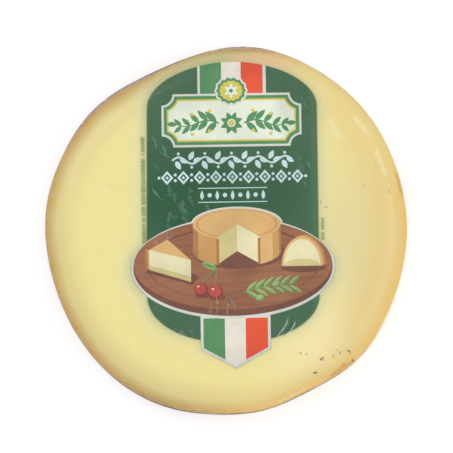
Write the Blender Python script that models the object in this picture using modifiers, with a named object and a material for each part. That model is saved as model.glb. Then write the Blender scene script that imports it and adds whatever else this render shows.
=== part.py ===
"""A round slice of smoked provolone cheese in clear vacuum film, lying flat with its label up.

Run with: blender --background --python part.py
Metres, +Z up. The origin is under the middle of the pack's outline, on the surface it rests on.
+Y points to the top of the label.
"""

import math

import bmesh
import bpy

MM = 0.001

# The slice: a round cheese cut straight across, so that it is thick and low.
RADIUS = 78.7 * MM
THICKNESS = 30 * MM
CROWN = 1.6 * MM  # how much the upper face swells towards its middle
SHOULDER_WIDTH = 13 * MM  # the soft edge round the upper face
SHOULDER_HEIGHT = 12.4 * MM
SHOULDER_POWER = 2.2  # 2 is an ellipse, and more is squarer
FOOT_WIDTH = 8 * MM  # the soft edge round the lower face
FOOT_HEIGHT = 9 * MM
WAIST_HEIGHT = THICKNESS - CROWN - SHOULDER_HEIGHT

# Where the cheese is pressed out of round: direction and spread in degrees, then depth.
FLATS = (
    (114, 27, 6.6 * MM),
    (154, 18, 2.2 * MM),
    (194, 33, 3.1 * MM),
    (269, 15, 1.4 * MM),
    (297, 15, 3.0 * MM),
    (19, 40, 3.7 * MM),
    (338, 24, 2.0 * MM),
    (63, 17, 1.3 * MM),
)

# The weld between the two halves of the film: a low fin round the side.
SEAM_HEIGHT = (FOOT_HEIGHT + WAIST_HEIGHT) / 2
SEAM_WIDTH = 0.2 * MM
SEAM_ROOT = 1.8 * MM  # thickness where it leaves the side
SEAM_TIP = 0.5 * MM
# Where the fin was trimmed wider: direction and spread in degrees, then extra width.
WIDE_TRIMS = (
    (130, 17, 0.95 * MM),
    (86, 8, 0.5 * MM),
    (250, 45, 0.25 * MM),
    (335, 14, 0.5 * MM),
)

# The label: a panel with arched ends, an oval across it and a pennant below.
LABEL_MIDDLE = (2.8 * MM, 5.1 * MM)
LABEL_TURN = math.radians(0.9)
LABEL_THICKNESS = 0.3 * MM
LABEL_GAP = 0.3 * MM  # air between the film and the label's underside
PANEL_HALF_WIDTH = 35.05 * MM
PANEL_SHOULDERS = (-31.5 * MM, 45.3 * MM)  # where the straight sides end
PANEL_ARCHES = (19.8 * MM, 18.6 * MM)  # height of the lower and the upper arch
PANEL_LEAN = 0.0165  # how far the left side leans out towards its foot, for each unit of height
PANEL_LEAN_SPAN = (-15 * MM, 19 * MM, 45.3 * MM)  # where the lean ends, is nought and ends again
ARCH_POWERS = (2.1, 1.97)
OVAL_MIDDLE = (-0.3 * MM, -20.5 * MM)
OVAL_HALF_WIDTH = 41.7 * MM
OVAL_HALF_HEIGHT = 20.8 * MM
PENNANT_MIDDLE = 0.4 * MM
PENNANT_HALF_WIDTH = 14.3 * MM
PENNANT_CORNERS = -53.7 * MM
PENNANT_TIP = -61.7 * MM
LABEL_REACH = 80 * MM  # further than any point of the label is from its middle

# How finely the round shapes are divided.
ROUND_STEPS = 96
SHOULDER_STEPS = 8
FOOT_STEPS = 5
CROWN_RINGS = (0.3, 0.6, 0.85)  # shares of the way out to the shoulder
LABEL_STEPS = 120
LABEL_RINGS = (0.3, 0.6, 0.8, 0.9, 0.96, 1.0)  # shares of the way out to the label's edge


def bump(angle, places):
    """The sum of the smooth bumps in places at an angle in radians."""
    total = 0.0
    for direction, spread, depth in places:
        apart = (math.degrees(angle) - direction + 180) % 360 - 180
        total += depth * math.exp(-((apart / spread) ** 2))
    return total


def outline(angle):
    """How far the pack reaches from the cheese's axis, out to the fin's edge."""
    return RADIUS - bump(angle, FLATS)


def side(angle):
    """How far the cheese's side is from its axis, inside the fin."""
    return outline(angle) - SEAM_WIDTH - bump(angle, WIDE_TRIMS)


def outline_middle():
    """The middle of the outline's box, which the finished part has at its origin."""
    angles = [math.tau * i / 720 for i in range(720)]
    xs = [outline(a) * math.cos(a) for a in angles]
    ys = [outline(a) * math.sin(a) for a in angles]
    return (min(xs) + max(xs)) / 2, (min(ys) + max(ys)) / 2


def soft_edge(share, power):
    """Rise of a rounded edge, from 0 at its outer end to 1 where it meets the flat."""
    inward = min(max(share, 0.0), 1.0)
    return (1 - (1 - inward) ** power) ** (1 / power)


def face_height(radius):
    """Height of the upper face and its shoulder on the round cheese, at a radius."""
    shoulder = SHOULDER_HEIGHT * soft_edge((RADIUS - radius) / SHOULDER_WIDTH, SHOULDER_POWER)
    return WAIST_HEIGHT + shoulder + CROWN * (1 - (radius / RADIUS) ** 2)


def slice_profile():
    """Radius and height of the slice's half section, from the top of the axis to its foot."""
    points = [(0.0, THICKNESS)]
    flat_radius = RADIUS - SHOULDER_WIDTH
    points += [(flat_radius * r, face_height(flat_radius * r)) for r in CROWN_RINGS]
    for i in range(SHOULDER_STEPS + 1):
        turn = math.pi / 2 * i / SHOULDER_STEPS
        radius = flat_radius + SHOULDER_WIDTH * math.sin(turn)
        points.append((radius, face_height(radius)))
    points.append((RADIUS, SEAM_HEIGHT + SEAM_ROOT / 2))
    points.append((RADIUS + SEAM_WIDTH, SEAM_HEIGHT + SEAM_TIP / 2))
    points.append((RADIUS + SEAM_WIDTH, SEAM_HEIGHT - SEAM_TIP / 2))
    points.append((RADIUS, SEAM_HEIGHT - SEAM_ROOT / 2))
    for i in range(FOOT_STEPS + 1):
        turn = math.pi / 2 * i / FOOT_STEPS
        radius = RADIUS - FOOT_WIDTH * (1 - math.cos(turn))
        points.append((radius, FOOT_HEIGHT * (1 - math.sin(turn))))
    points.append((0.0, 0.0))
    return points


def press_out_of_round(mesh):
    """Moves a turned mesh's vertices to the pressed outline, with its box's middle on the axis."""
    middle_x, middle_y = outline_middle()
    for vertex in mesh.vertices:
        angle = math.atan2(vertex.co.y, vertex.co.x)
        turned = math.hypot(vertex.co.x, vertex.co.y)
        pressed = side(angle) * turned / RADIUS
        if turned > RADIUS + SEAM_WIDTH / 2:
            pressed = outline(angle)
        vertex.co.x = pressed * math.cos(angle) - middle_x
        vertex.co.y = pressed * math.sin(angle) - middle_y


def inside_panel(x, y):
    """True inside the label's straight-sided panel and its arched ends."""
    low, high = PANEL_SHOULDERS
    beyond, power, half = 0.0, ARCH_POWERS[0], PANEL_HALF_WIDTH
    if x < 0:
        foot, upright, head = PANEL_LEAN_SPAN
        half += PANEL_LEAN * (upright - min(max(y, foot), head))
    if y < low:
        beyond = (low - y) / PANEL_ARCHES[0]
    if y > high:
        beyond, power = (y - high) / PANEL_ARCHES[1], ARCH_POWERS[1]
    return abs(x / half) ** power + beyond**power <= 1


def inside_oval(x, y):
    """True inside the oval that lies across the label."""
    across, up = x - OVAL_MIDDLE[0], y - OVAL_MIDDLE[1]
    return math.hypot(across / OVAL_HALF_WIDTH, up / OVAL_HALF_HEIGHT) <= 1


def inside_pennant(x, y):
    """True inside the pennant: a strip with a pointed lower end."""
    across = abs(x - PENNANT_MIDDLE)
    edge = PENNANT_TIP + (PENNANT_CORNERS - PENNANT_TIP) * across / PENNANT_HALF_WIDTH
    return across <= PENNANT_HALF_WIDTH and edge <= y <= 0


def label_edge(angle):
    """How far the label reaches from its middle at an angle, found by halving."""
    near, far = 0.0, LABEL_REACH
    for _ in range(30):
        half = (near + far) / 2
        x, y = half * math.cos(angle), half * math.sin(angle)
        if inside_panel(x, y) or inside_oval(x, y) or inside_pennant(x, y):
            near = half
        else:
            far = half
    return near


def label_angles():
    """Even steps round the label, with the pennant's two corners among them."""
    angles = [math.tau * i / LABEL_STEPS for i in range(LABEL_STEPS)]
    for across in (PENNANT_MIDDLE - PENNANT_HALF_WIDTH, PENNANT_MIDDLE + PENNANT_HALF_WIDTH):
        angles.append(math.atan2(PENNANT_CORNERS, across) % math.tau)
    return sorted(angles)


def on_face(x, y):
    """The point of the upper face under a point of the finished part."""
    middle_x, middle_y = outline_middle()
    from_axis_x, from_axis_y = x + middle_x, y + middle_y
    angle = math.atan2(from_axis_y, from_axis_x)
    turned = math.hypot(from_axis_x, from_axis_y) * RADIUS / side(angle)
    return x, y, face_height(turned)


def label_point(angle, reach):
    """A point of the label's underside, a hair above the face."""
    turned = angle + LABEL_TURN
    x = LABEL_MIDDLE[0] + reach * math.cos(turned)
    y = LABEL_MIDDLE[1] + reach * math.sin(turned)
    x, y, z = on_face(x, y)
    return x, y, z + LABEL_GAP


def material(name, colour, roughness):
    """A plain material for one node."""
    made = bpy.data.materials.new(name)
    made.use_nodes = True
    shader = made.node_tree.nodes["Principled BSDF"]
    shader.inputs["Base Color"].default_value = (*colour, 1.0)
    shader.inputs["Roughness"].default_value = roughness
    shader.inputs["Metallic"].default_value = 0.0
    return made


def add_object(name, mesh, collection, finish):
    """Links a mesh as a named, smooth-shaded object with one material."""
    mesh.materials.clear()
    mesh.materials.append(finish)
    made = bpy.data.objects.new(name, mesh)
    collection.objects.link(made)
    mesh.shade_smooth()
    return made


def make_slice(collection):
    """The cheese in its film: a profile turned round the axis, then pressed out of round."""
    profile = bpy.data.meshes.new("slice_profile")
    points = [(radius, 0.0, height) for radius, height in slice_profile()]
    profile.from_pydata(points, [(i, i + 1) for i in range(len(points) - 1)], [])
    turned = bpy.data.objects.new("slice_profile", profile)
    collection.objects.link(turned)
    screw = turned.modifiers.new("turn", "SCREW")
    screw.steps = ROUND_STEPS
    screw.render_steps = ROUND_STEPS
    screw.use_merge_vertices = True
    screw.merge_threshold = 0.01 * MM
    graph = bpy.context.evaluated_depsgraph_get()
    mesh = bpy.data.meshes.new_from_object(turned.evaluated_get(graph))
    mesh.name = "wrapped_cheese"
    bpy.data.objects.remove(turned)
    press_out_of_round(mesh)
    add_object("wrapped_cheese", mesh, collection, material("cheese", (0.86, 0.74, 0.34), 0.35))


def make_label(collection):
    """The label: rings from its middle to its edge, laid on the face and given a thickness."""
    sheet = bmesh.new()
    angles = label_angles()
    middle = sheet.verts.new(label_point(0.0, 0.0))
    inner = [middle] * len(angles)
    for share in LABEL_RINGS:
        outer = [sheet.verts.new(label_point(a, share * label_edge(a))) for a in angles]
        for i in range(len(angles)):
            j = (i + 1) % len(angles)
            corners = (inner[i], outer[i], outer[j], inner[j])
            sheet.faces.new(list(dict.fromkeys(corners)))
        inner = outer
    mesh = bpy.data.meshes.new("label")
    sheet.to_mesh(mesh)
    sheet.free()
    label = add_object("label", mesh, collection, material("label", (0.06, 0.16, 0.08), 0.4))
    wall = label.modifiers.new("thickness", "SOLIDIFY")
    wall.thickness = LABEL_THICKNESS
    wall.offset = 1.0


def clear_scene():
    """Removes whatever the opened file holds."""
    for old in list(bpy.data.objects):
        bpy.data.objects.remove(old)


def main():
    """Builds the whole pack in its own collection."""
    clear_scene()
    collection = bpy.data.collections.new("provolone_pack")
    bpy.context.scene.collection.children.link(collection)
    make_slice(collection)
    make_label(collection)


main()
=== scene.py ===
"""Looks of a slice of smoked provolone in clear vacuum film with a printed label, and a studio to see it in.

Laid out as an add-on and run as a script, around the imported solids. Metres, +Z up, +Y to the label's top.
The label is drawn in millimetres, across and up from its own middle, and is then laid on the cheese.
"""

import math
import random
from collections import namedtuple

import bmesh
import bpy
import numpy as np
from bpy.props import FloatProperty, FloatVectorProperty, IntProperty, PointerProperty
from bpy.types import Operator, Panel, PropertyGroup
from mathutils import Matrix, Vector
from mathutils.geometry import delaunay_2d_cdt


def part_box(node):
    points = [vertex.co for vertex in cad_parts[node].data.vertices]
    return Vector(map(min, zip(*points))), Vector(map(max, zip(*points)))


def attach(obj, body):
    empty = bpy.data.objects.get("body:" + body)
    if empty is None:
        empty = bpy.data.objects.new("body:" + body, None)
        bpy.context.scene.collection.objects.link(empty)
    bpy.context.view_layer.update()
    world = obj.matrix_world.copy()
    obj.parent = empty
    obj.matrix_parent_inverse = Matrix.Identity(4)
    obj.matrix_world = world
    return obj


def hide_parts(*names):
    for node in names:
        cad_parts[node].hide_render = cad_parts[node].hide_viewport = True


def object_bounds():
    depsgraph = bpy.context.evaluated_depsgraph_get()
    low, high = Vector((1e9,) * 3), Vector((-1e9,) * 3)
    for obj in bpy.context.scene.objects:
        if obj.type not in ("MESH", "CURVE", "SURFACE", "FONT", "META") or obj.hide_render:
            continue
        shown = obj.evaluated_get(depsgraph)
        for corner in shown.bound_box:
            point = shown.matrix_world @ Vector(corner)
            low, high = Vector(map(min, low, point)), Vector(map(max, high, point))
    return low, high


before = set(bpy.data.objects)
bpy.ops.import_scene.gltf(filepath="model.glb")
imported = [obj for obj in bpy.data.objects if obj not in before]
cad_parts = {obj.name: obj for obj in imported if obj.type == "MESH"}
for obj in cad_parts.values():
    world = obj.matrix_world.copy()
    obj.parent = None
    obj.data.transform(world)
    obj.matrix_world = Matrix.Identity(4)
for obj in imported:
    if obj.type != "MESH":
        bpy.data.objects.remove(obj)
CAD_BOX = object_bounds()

bl_info = {
    "name": "Provolone Slice in Film",
    "version": (1, 0, 0),
    "blender": (4, 5, 0),
    "location": "View3D > Sidebar > Provolone",
    "description": "Dresses a packed slice of smoked provolone with cheese, film, a printed label and a stage",
    "category": "Object",
}

MM = 0.001
BODY = "root"
SLICE_NODE = "wrapped_cheese"
LABEL_NODE = "label"


# ---------------------------------------------------------------- settings


def linear(red, green, blue):
    """A scene-linear colour from display values of 0 to 255."""
    shares = [value / 255 for value in (red, green, blue)]
    return tuple(s / 12.92 if s <= 0.04045 else ((s + 0.055) / 1.055) ** 2.4 for s in shares)


def size(name, description, millimetres):
    """A length setting."""
    return FloatProperty(
        name=name, description=description, default=millimetres * MM, unit="LENGTH", subtype="DISTANCE"
    )


def turn(name, description, degrees):
    """An angle setting."""
    return FloatProperty(
        name=name, description=description, default=math.radians(degrees), unit="ROTATION", subtype="ANGLE"
    )


def share(name, description, value):
    """A setting from 0 to 1."""
    return FloatProperty(name=name, description=description, default=value, min=0.0, max=1.0, subtype="FACTOR")


def amount(name, description, value):
    """A number with no unit."""
    return FloatProperty(name=name, description=description, default=value)


def count(name, description, value):
    """A whole number."""
    return IntProperty(name=name, description=description, default=value, min=0)


def colour(name, description, red, green, blue):
    """A colour setting, given by display values of 0 to 255."""
    return FloatVectorProperty(
        name=name, description=description, default=linear(red, green, blue), size=3, min=0.0, max=1.0,
        subtype="COLOR",
    )


class SliceShape(PropertyGroup):
    """The slice's half section and how finely it is divided."""

    turned_radius: size("Turned radius", "Radius of the slice before it is pressed out of round", 78.7)
    crown: size("Crown", "How much the upper face swells towards its middle", 1.6)
    shoulder_width: size("Shoulder width", "Width of the soft edge round the upper face", 13)
    shoulder_power: amount("Shoulder power", "2 is an ellipse, and more is squarer", 2.2)
    foot_width: size("Foot width", "Width of the soft edge round the lower face", 8)
    cheese_inset: size("Cheese inset", "Gap between the film and the cheese at the side", 0.1)
    unevenness: size("Unevenness", "Height of the paste's gentle waves", 0.12)
    steps_round: count("Steps round", "Columns of faces round the cheese", 384)


class CheeseColours(PropertyGroup):
    """Colours of the paste and of its smoked rind, from the inside out. The left ones are darker as a painted shade."""

    # Lemon to cream runs left to right over the face: partly the paste's colour, partly a painted shade.
    lemon: colour("Lemon paste", "Fresh paste", 236, 222, 150)
    cream: colour("Cream paste", "Paste on the drier side", 224, 210, 154)
    bloom: colour("Bloom", "Paler clouds in the paste", 244, 228, 176)
    cool: colour("Cool paste", "Paste greyed by the print's shade", 220, 220, 176)
    blush: colour("Blush", "Paste tinted by the ribbon's red through the film", 226, 180, 136)
    # The left colours are darkened by a painted shade.
    straw_left: colour("Left straw", "First tint of smoke on the left", 216, 198, 134)
    tan_left: colour("Left tan", "Outer paste on the left", 198, 171, 100)
    gold_left: colour("Left gold", "Inner rind on the left", 184, 146, 64)
    brown_left: colour("Left brown", "Rind on the left", 165, 120, 42)
    straw_right: colour("Right straw", "First tint of smoke on the lower right", 227, 201, 133)
    tan_right: colour("Right tan", "Outer paste on the lower right", 226, 192, 113)
    gold_right: colour("Right gold", "Inner rind on the lower right", 223, 182, 88)
    brown_right: colour("Right brown", "Rind on the lower right", 213, 165, 74)
    straw_upper: colour("Upper straw", "First tint of smoke on the upper right", 230, 208, 138)
    tan_upper: colour("Upper tan", "Outer paste on the upper right", 226, 201, 126)
    gold_upper: colour("Upper gold", "Inner rind on the upper right", 218, 192, 114)
    brown_upper: colour("Upper brown", "Rind on the upper right", 206, 176, 102)
    # Browned rind, also used as a painted shade along the rim's top and left.
    browned: colour("Browned rind", "Where the smoke has browned the rim most", 166, 118, 34)
    amber: colour("Amber rind", "The same on the right", 194, 132, 48)
    olive: colour("Olive paste", "Shaded paste between the label's top and the rim", 145, 121, 44)
    dark: colour("Dark rind", "Deepest patches of the side", 140, 92, 48)


class FilmLook(PropertyGroup):
    """The clear film round the cheese."""

    top_lift: size("Top lift", "Height of the film over the upper face, so that it clears the label", 0.6)
    side_lift: size("Side lift", "Gap between the solid's side and the film", 0.1)
    seam_root: size("Seam root", "Thickness of the weld where it leaves the side", 1.2)
    seam_tip: size("Seam tip", "Thickness of the weld at its trimmed edge", 0.3)
    pleat_depth: size("Pleat depth", "Height of the gathers round the side", 0.45)
    pleats: amount("Pleats", "How closely the gathers follow each other", 26)
    ruffle: size("Ruffle", "Rise and fall of the weld", 0.3)
    blister_height: size("Blister height", "Height of the small air bubbles", 0.3)
    blister_reach: size("Blister reach", "Radius of the small air bubbles", 1.5)
    steps_round: count("Steps round", "Columns of faces round the film", 480)
    roughness: share("Roughness", "Roughness of the film's gloss", 0.2)
    # Weld colours: a painted shade on the left, a painted highlight on the right.
    weld_shaded: colour("Smoky weld", "Weld on the smoked side", 168, 151, 138)
    weld_highlight: colour("Pale weld", "Weld on the pale side", 255, 244, 200)
    # The dark weld edge colour is a painted shadow line.
    weld_shadow_line: colour("Dark weld edge", "Weld's trimmed edge where dust has gathered", 104, 93, 78)


class LabelShape(PropertyGroup):
    """The label's outline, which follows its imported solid."""

    tilt: turn("Tilt", "How far the label is turned on the cheese", 0.9)
    lift: size("Lift", "Height of the print over the cheese", 0.3)
    wall: size("Wall", "Thickness of the printed layer", 0.1)
    mesh_pitch: size("Mesh pitch", "Spacing of the points inside the fields of colour", 2.2)


class InkColours(PropertyGroup):
    """Inks of the label."""

    # The panel's green, from where it is darkest to where it is lightest.
    panel: colour("Panel green", "Ground of the label where the ink is dense", 30, 81, 49)
    panel_pale: colour("Thin panel green", "Ground of the label where the ink is thin", 70, 105, 76)
    fringe: colour("Fringe", "Thin edge round the panel", 130, 150, 92)
    green: colour("Green", "Ribbon, pennant and sprigs", 80, 136, 86)
    white: colour("White", "Middle stripes", 224, 216, 202)
    border: colour("Border", "Pale borders", 208, 209, 200)
    red: colour("Red", "Ribbon and pennant", 220, 78, 42)
    plaque: colour("Plaque", "Ground of the plaque", 220, 226, 208)
    gold: colour("Gold", "Lines and medallion", 205, 188, 84)
    pale_blue: colour("Pale blue", "Bands of ornament", 193, 215, 214)
    wood: colour("Wood", "Board", 152, 98, 66)
    wood_dark: colour("Dark wood", "Board's side and groove", 116, 70, 52)
    rind: colour("Rind", "Side of the drawn cheese", 194, 145, 86)
    rind_dark: colour("Dark rind", "Shaded side of the drawn cheese", 168, 116, 66)
    rind_light: colour("Light rind", "Top of the drawn cheese", 212, 170, 110)
    paste: colour("Paste", "Cut faces of the drawn cheese", 224, 214, 172)
    paste_shade: colour("Shaded paste", "Shaded cut faces", 204, 190, 132)
    berry: colour("Berry", "Cherries", 184, 72, 64)
    berry_dark: colour("Dark berry", "Shaded side of the cherries", 140, 48, 46)
    leaf: colour("Leaf", "Drawn leaves", 150, 176, 108)
    leaf_dark: colour("Dark leaf", "Shaded half of the drawn leaves", 104, 142, 84)
    margin: colour("Margin", "Dashes beside the panel", 146, 172, 108)


class StageSetup(PropertyGroup):
    """The floor, the lamps and the camera."""

    floor: colour("Floor", "Plain pale floor", 252, 252, 251)
    sky: amount("Sky strength", "Light from all round", 0.92)
    key_power: FloatProperty(name="Key power", description="Softbox to the upper left", default=3.0, unit="POWER")
    fill_power: FloatProperty(name="Fill power", description="Softbox to the right", default=2.0, unit="POWER")
    lens: FloatProperty(name="Lens", description="Focal length in millimetres", default=180.0)
    sensor: FloatProperty(name="Sensor", description="Sensor width in millimetres", default=36.0)
    view_width: size("View width", "Width that the camera takes in at the slice's waist", 188)
    aim_across: size("Aim across", "How far right of the slice's middle the camera points", 0.17)
    aim_up: size("Aim up", "How far towards the label's top the camera points", 1.7)


class ProvoloneSettings(PropertyGroup):
    """All the settings of the slice."""

    shape: PointerProperty(type=SliceShape)
    cheese: PointerProperty(type=CheeseColours)
    film: PointerProperty(type=FilmLook)
    label: PointerProperty(type=LabelShape)
    inks: PointerProperty(type=InkColours)
    stage: PointerProperty(type=StageSetup)


def settings():
    """The slice's settings in this scene."""
    return bpy.context.scene.provolone


# ---------------------------------------------------------------- what the frame says


def node_points(name):
    """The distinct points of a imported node."""
    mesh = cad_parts[name].data
    flat = np.empty(len(mesh.vertices) * 3)
    mesh.vertices.foreach_get("co", flat)
    return np.unique(flat.reshape(-1, 3).round(7), axis=0)


SliceFrame = namedtuple("SliceFrame", "points thickness waist foot seam")


def read_slice():
    """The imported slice's points, its thickness, and the heights of its waist, foot and seam."""
    points = node_points(SLICE_NODE)
    heights = points[:, 2].round(5)
    reach = np.hypot(points[:, 0], points[:, 1])
    levels = {h: reach[heights == h].mean() for h in np.unique(heights) if (heights == h).sum() > 8}
    same = 0.05 * MM
    seam = [h for h, r in levels.items() if r > max(levels.values()) - same]
    widest_side = max(r for h, r in levels.items() if h not in seam)
    side = [h for h, r in levels.items() if h not in seam and r > widest_side - same]
    return SliceFrame(points, heights.max(), max(side), min(side), sum(seam) / len(seam))


def ring_at(points, height):
    """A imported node's points at one height, in order round the axis."""
    ring = points[np.abs(points[:, 2] - height) < 0.3 * MM]
    angles = np.arctan2(ring[:, 1], ring[:, 0]).round(3)
    _, first = np.unique(angles, return_index=True)
    return ring[first]


def side_reach(angles, ring):
    """How far the slice's side is from the axis at some angles."""
    ring_angles = np.arctan2(ring[:, 1], ring[:, 0])
    return np.interp(angles, ring_angles, np.hypot(ring[:, 0], ring[:, 1]), period=math.tau)


def face_height(shape, packed, radius):
    """Height of the upper face and its shoulder on the round slice, at some turned radii."""
    inward = np.clip((shape.turned_radius - radius) / shape.shoulder_width, 0, 1)
    rise = (1 - (1 - inward) ** shape.shoulder_power) ** (1 / shape.shoulder_power)
    shoulder_height = packed.thickness - shape.crown - packed.waist
    return packed.waist + shoulder_height * rise + shape.crown * (1 - (radius / shape.turned_radius) ** 2)


def height_over_face(across, up, lift):
    """Height of a sheet laid over the upper face, at some places of the frame."""
    shape = settings().shape
    packed = read_slice()
    reach = side_reach(np.arctan2(up, across), ring_at(packed.points, packed.waist))
    turned = np.hypot(across, up) / reach * shape.turned_radius
    return face_height(shape, packed, turned) + lift


# ---------------------------------------------------------------- nodes


def node(tree, kind, inputs=None, **options):
    """Adds a node. Its inputs are values or the sockets that feed them, by name or by number."""
    made = tree.nodes.new(kind)
    for key, value in options.items():
        setattr(made, key, value)
    for key, value in (inputs or {}).items():
        if isinstance(value, bpy.types.NodeSocket):
            tree.links.new(value, made.inputs[key])
        else:
            made.inputs[key].default_value = value
    return made


def maths(tree, operation, *values, clamp=False):
    """A Math node's result."""
    made = node(tree, "ShaderNodeMath", dict(enumerate(values)), operation=operation, use_clamp=clamp)
    return made.outputs[0]


def vectors(tree, operation, *values, scale=None):
    """A Vector Math node's vector result."""
    inputs = dict(enumerate(values))
    if scale is not None:
        inputs["Scale"] = scale
    return node(tree, "ShaderNodeVectorMath", inputs, operation=operation).outputs[0]


def rise(tree, value, start, end, low=0.0, high=1.0):
    """A smooth step: low before start, high after end."""
    inputs = {"Value": value, "From Min": start, "From Max": end, "To Min": low, "To Max": high}
    return node(tree, "ShaderNodeMapRange", inputs, interpolation_type="SMOOTHSTEP").outputs["Result"]


def noise(tree, place, grain, detail=2.0, seed=0.0, roughness=0.5):
    """Noise of 0 to 1 whose grain is a length in metres."""
    inputs = {"Vector": place, "W": seed, "Scale": 1 / grain, "Detail": detail, "Roughness": roughness}
    return node(tree, "ShaderNodeTexNoise", inputs, noise_dimensions="4D").outputs[0]


def stretched(tree, place, angle, along, across):
    """A place turned by an angle and squeezed, so that noise of grain 1 runs in streaks along it."""
    mapping = {"Vector": place, "Rotation": (0.0, 0.0, -angle)}
    turned = node(tree, "ShaderNodeMapping", mapping, vector_type="POINT").outputs[0]
    return vectors(tree, "MULTIPLY", turned, (1 / along, 1 / across, 1 / across))


def blend(tree, factor, first, second, mode="MIX"):
    """Mixes two colours."""
    made = node(tree, "ShaderNodeMix", data_type="RGBA", blend_type=mode)
    for number, value in ((0, factor), (6, first), (7, second)):
        if isinstance(value, bpy.types.NodeSocket):
            tree.links.new(value, made.inputs[number])
        elif number:
            made.inputs[number].default_value = (*value, 1.0)
        else:
            made.inputs[number].default_value = value
    return made.outputs[2]


def attribute(tree, name):
    """A stored number, read in a material."""
    return node(tree, "ShaderNodeAttribute", attribute_name=name).outputs["Fac"]


def new_material(name):
    """A material with its tree and its Principled shader."""
    material = bpy.data.materials.new(name)
    material.use_nodes = True
    return material, material.node_tree, material.node_tree.nodes["Principled BSDF"]


def feed(tree, shader, **inputs):
    """Sets or links a shader's inputs, with underscores for the spaces in their names."""
    for key, value in inputs.items():
        socket = shader.inputs[key.replace("_", " ")]
        if isinstance(value, bpy.types.NodeSocket):
            tree.links.new(value, socket)
        elif isinstance(value, tuple) and len(value) == 3 and socket.type == "RGBA":
            socket.default_value = (*value, 1.0)
        else:
            socket.default_value = value


def object_place(tree):
    """Object coordinates in a material."""
    return node(tree, "ShaderNodeTexCoord").outputs["Object"]


def bump(tree, height, distance, strength=1.0):
    """A normal that follows a height of 0 to 1."""
    inputs = {"Height": height, "Distance": distance, "Strength": strength}
    return node(tree, "ShaderNodeBump", inputs).outputs[0]


# ---------------------------------------------------------------- materials

SMOKE_REACH = 18 * MM  # how far in from the rim the smoke has tinted the paste
PRINT_SHADE = linear(230, 236, 244)
# Where the paste is driest and darkened by a painted shade, and where it is palest: the place on the face, and its
# reach.
DRY_AND_SHADED_PLACE = ((64 * MM, -4 * MM, 30 * MM), 62 * MM)
PALE_PLACE = ((40 * MM, -50 * MM, 30 * MM), 36 * MM)
# The shaded paste between the label's top and the rim.
OLIVE_PLACE = ((-10 * MM, 73 * MM, 28 * MM), 47 * MM)


def smoke_ramp(tree, rim, colours, side):
    """The rind's colour on one side by its distance from the rim, from brown through gold and tan to straw."""
    ramp = node(tree, "ShaderNodeValToRGB", {"Fac": maths(tree, "DIVIDE", rim, SMOKE_REACH)})
    stops = ramp.color_ramp.elements
    while len(stops) < 4:
        stops.new(0.5)
    for stop, name, reach in zip(stops, ("brown", "gold", "tan", "straw"), (0.3, 1.5, 3.4, 6.2)):
        stop.position = reach * MM / SMOKE_REACH
        stop.color = (*getattr(colours, f"{name}_{side}"), 1.0)
    return ramp.outputs[0]


def near_place(tree, place, spot):
    """A smooth patch: 1 at the spot's middle, 0 beyond its reach."""
    middle, reach = spot
    apart = node(tree, "ShaderNodeVectorMath", {0: place, 1: middle}, operation="DISTANCE").outputs["Value"]
    return rise(tree, apart, reach, 0.0)


def paste_colour(tree, place, mottle, colours):
    """The paste away from the rim: fresher to the left, drier and darker to the right, partly a painted shade, with
    paler clouds.
    """
    cloud = noise(tree, place, 40 * MM, detail=3, seed=3.0)
    drift = maths(tree, "MULTIPLY_ADD", maths(tree, "SUBTRACT", cloud, 0.5), 0.7, near_place(tree, place, DRY_AND_SHADED_PLACE))
    paste = blend(tree, rise(tree, drift, 0.0, 1.0, 0.0, 0.85), tuple(colours.lemon), tuple(colours.cream))
    clouds = rise(tree, mottle, 0.4, 0.75, 0.0, 0.1)
    pale = maths(tree, "ADD", clouds, near_place(tree, place, PALE_PLACE), clamp=True)
    return blend(tree, maths(tree, "MULTIPLY", pale, 0.75), paste, tuple(colours.bloom))


def smoked_colour(tree, place, rim, paste, colours):
    """The paste browning outwards: dark on the left as a painted shade, golden at the lower right and pale at the upper
    right.
    """
    parts = node(tree, "ShaderNodeSeparateXYZ", {0: place}).outputs
    slant = maths(tree, "MULTIPLY_ADD", parts[1], -0.19, parts[0])
    right = rise(tree, slant, -8 * MM, 30 * MM)
    upper = rise(tree, parts[1], 10 * MM, 42 * MM)
    on_right = blend(tree, upper, smoke_ramp(tree, rim, colours, "right"), smoke_ramp(tree, rim, colours, "upper"))
    # The left ramp's darker colours are a painted shade.
    smoked = blend(tree, right, smoke_ramp(tree, rim, colours, "left"), on_right)
    # On the right the first tint of smoke reaches further in, but not at the lower right.
    further = maths(tree, "MULTIPLY", right, rise(tree, parts[1], -30 * MM, -58 * MM, 1.0, -0.3))
    start = maths(tree, "MULTIPLY_ADD", further, 4 * MM, 3 * MM)
    end = maths(tree, "MULTIPLY_ADD", further, 8 * MM, SMOKE_REACH)
    return blend(tree, rise(tree, rim, start, end), smoked, paste)


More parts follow.
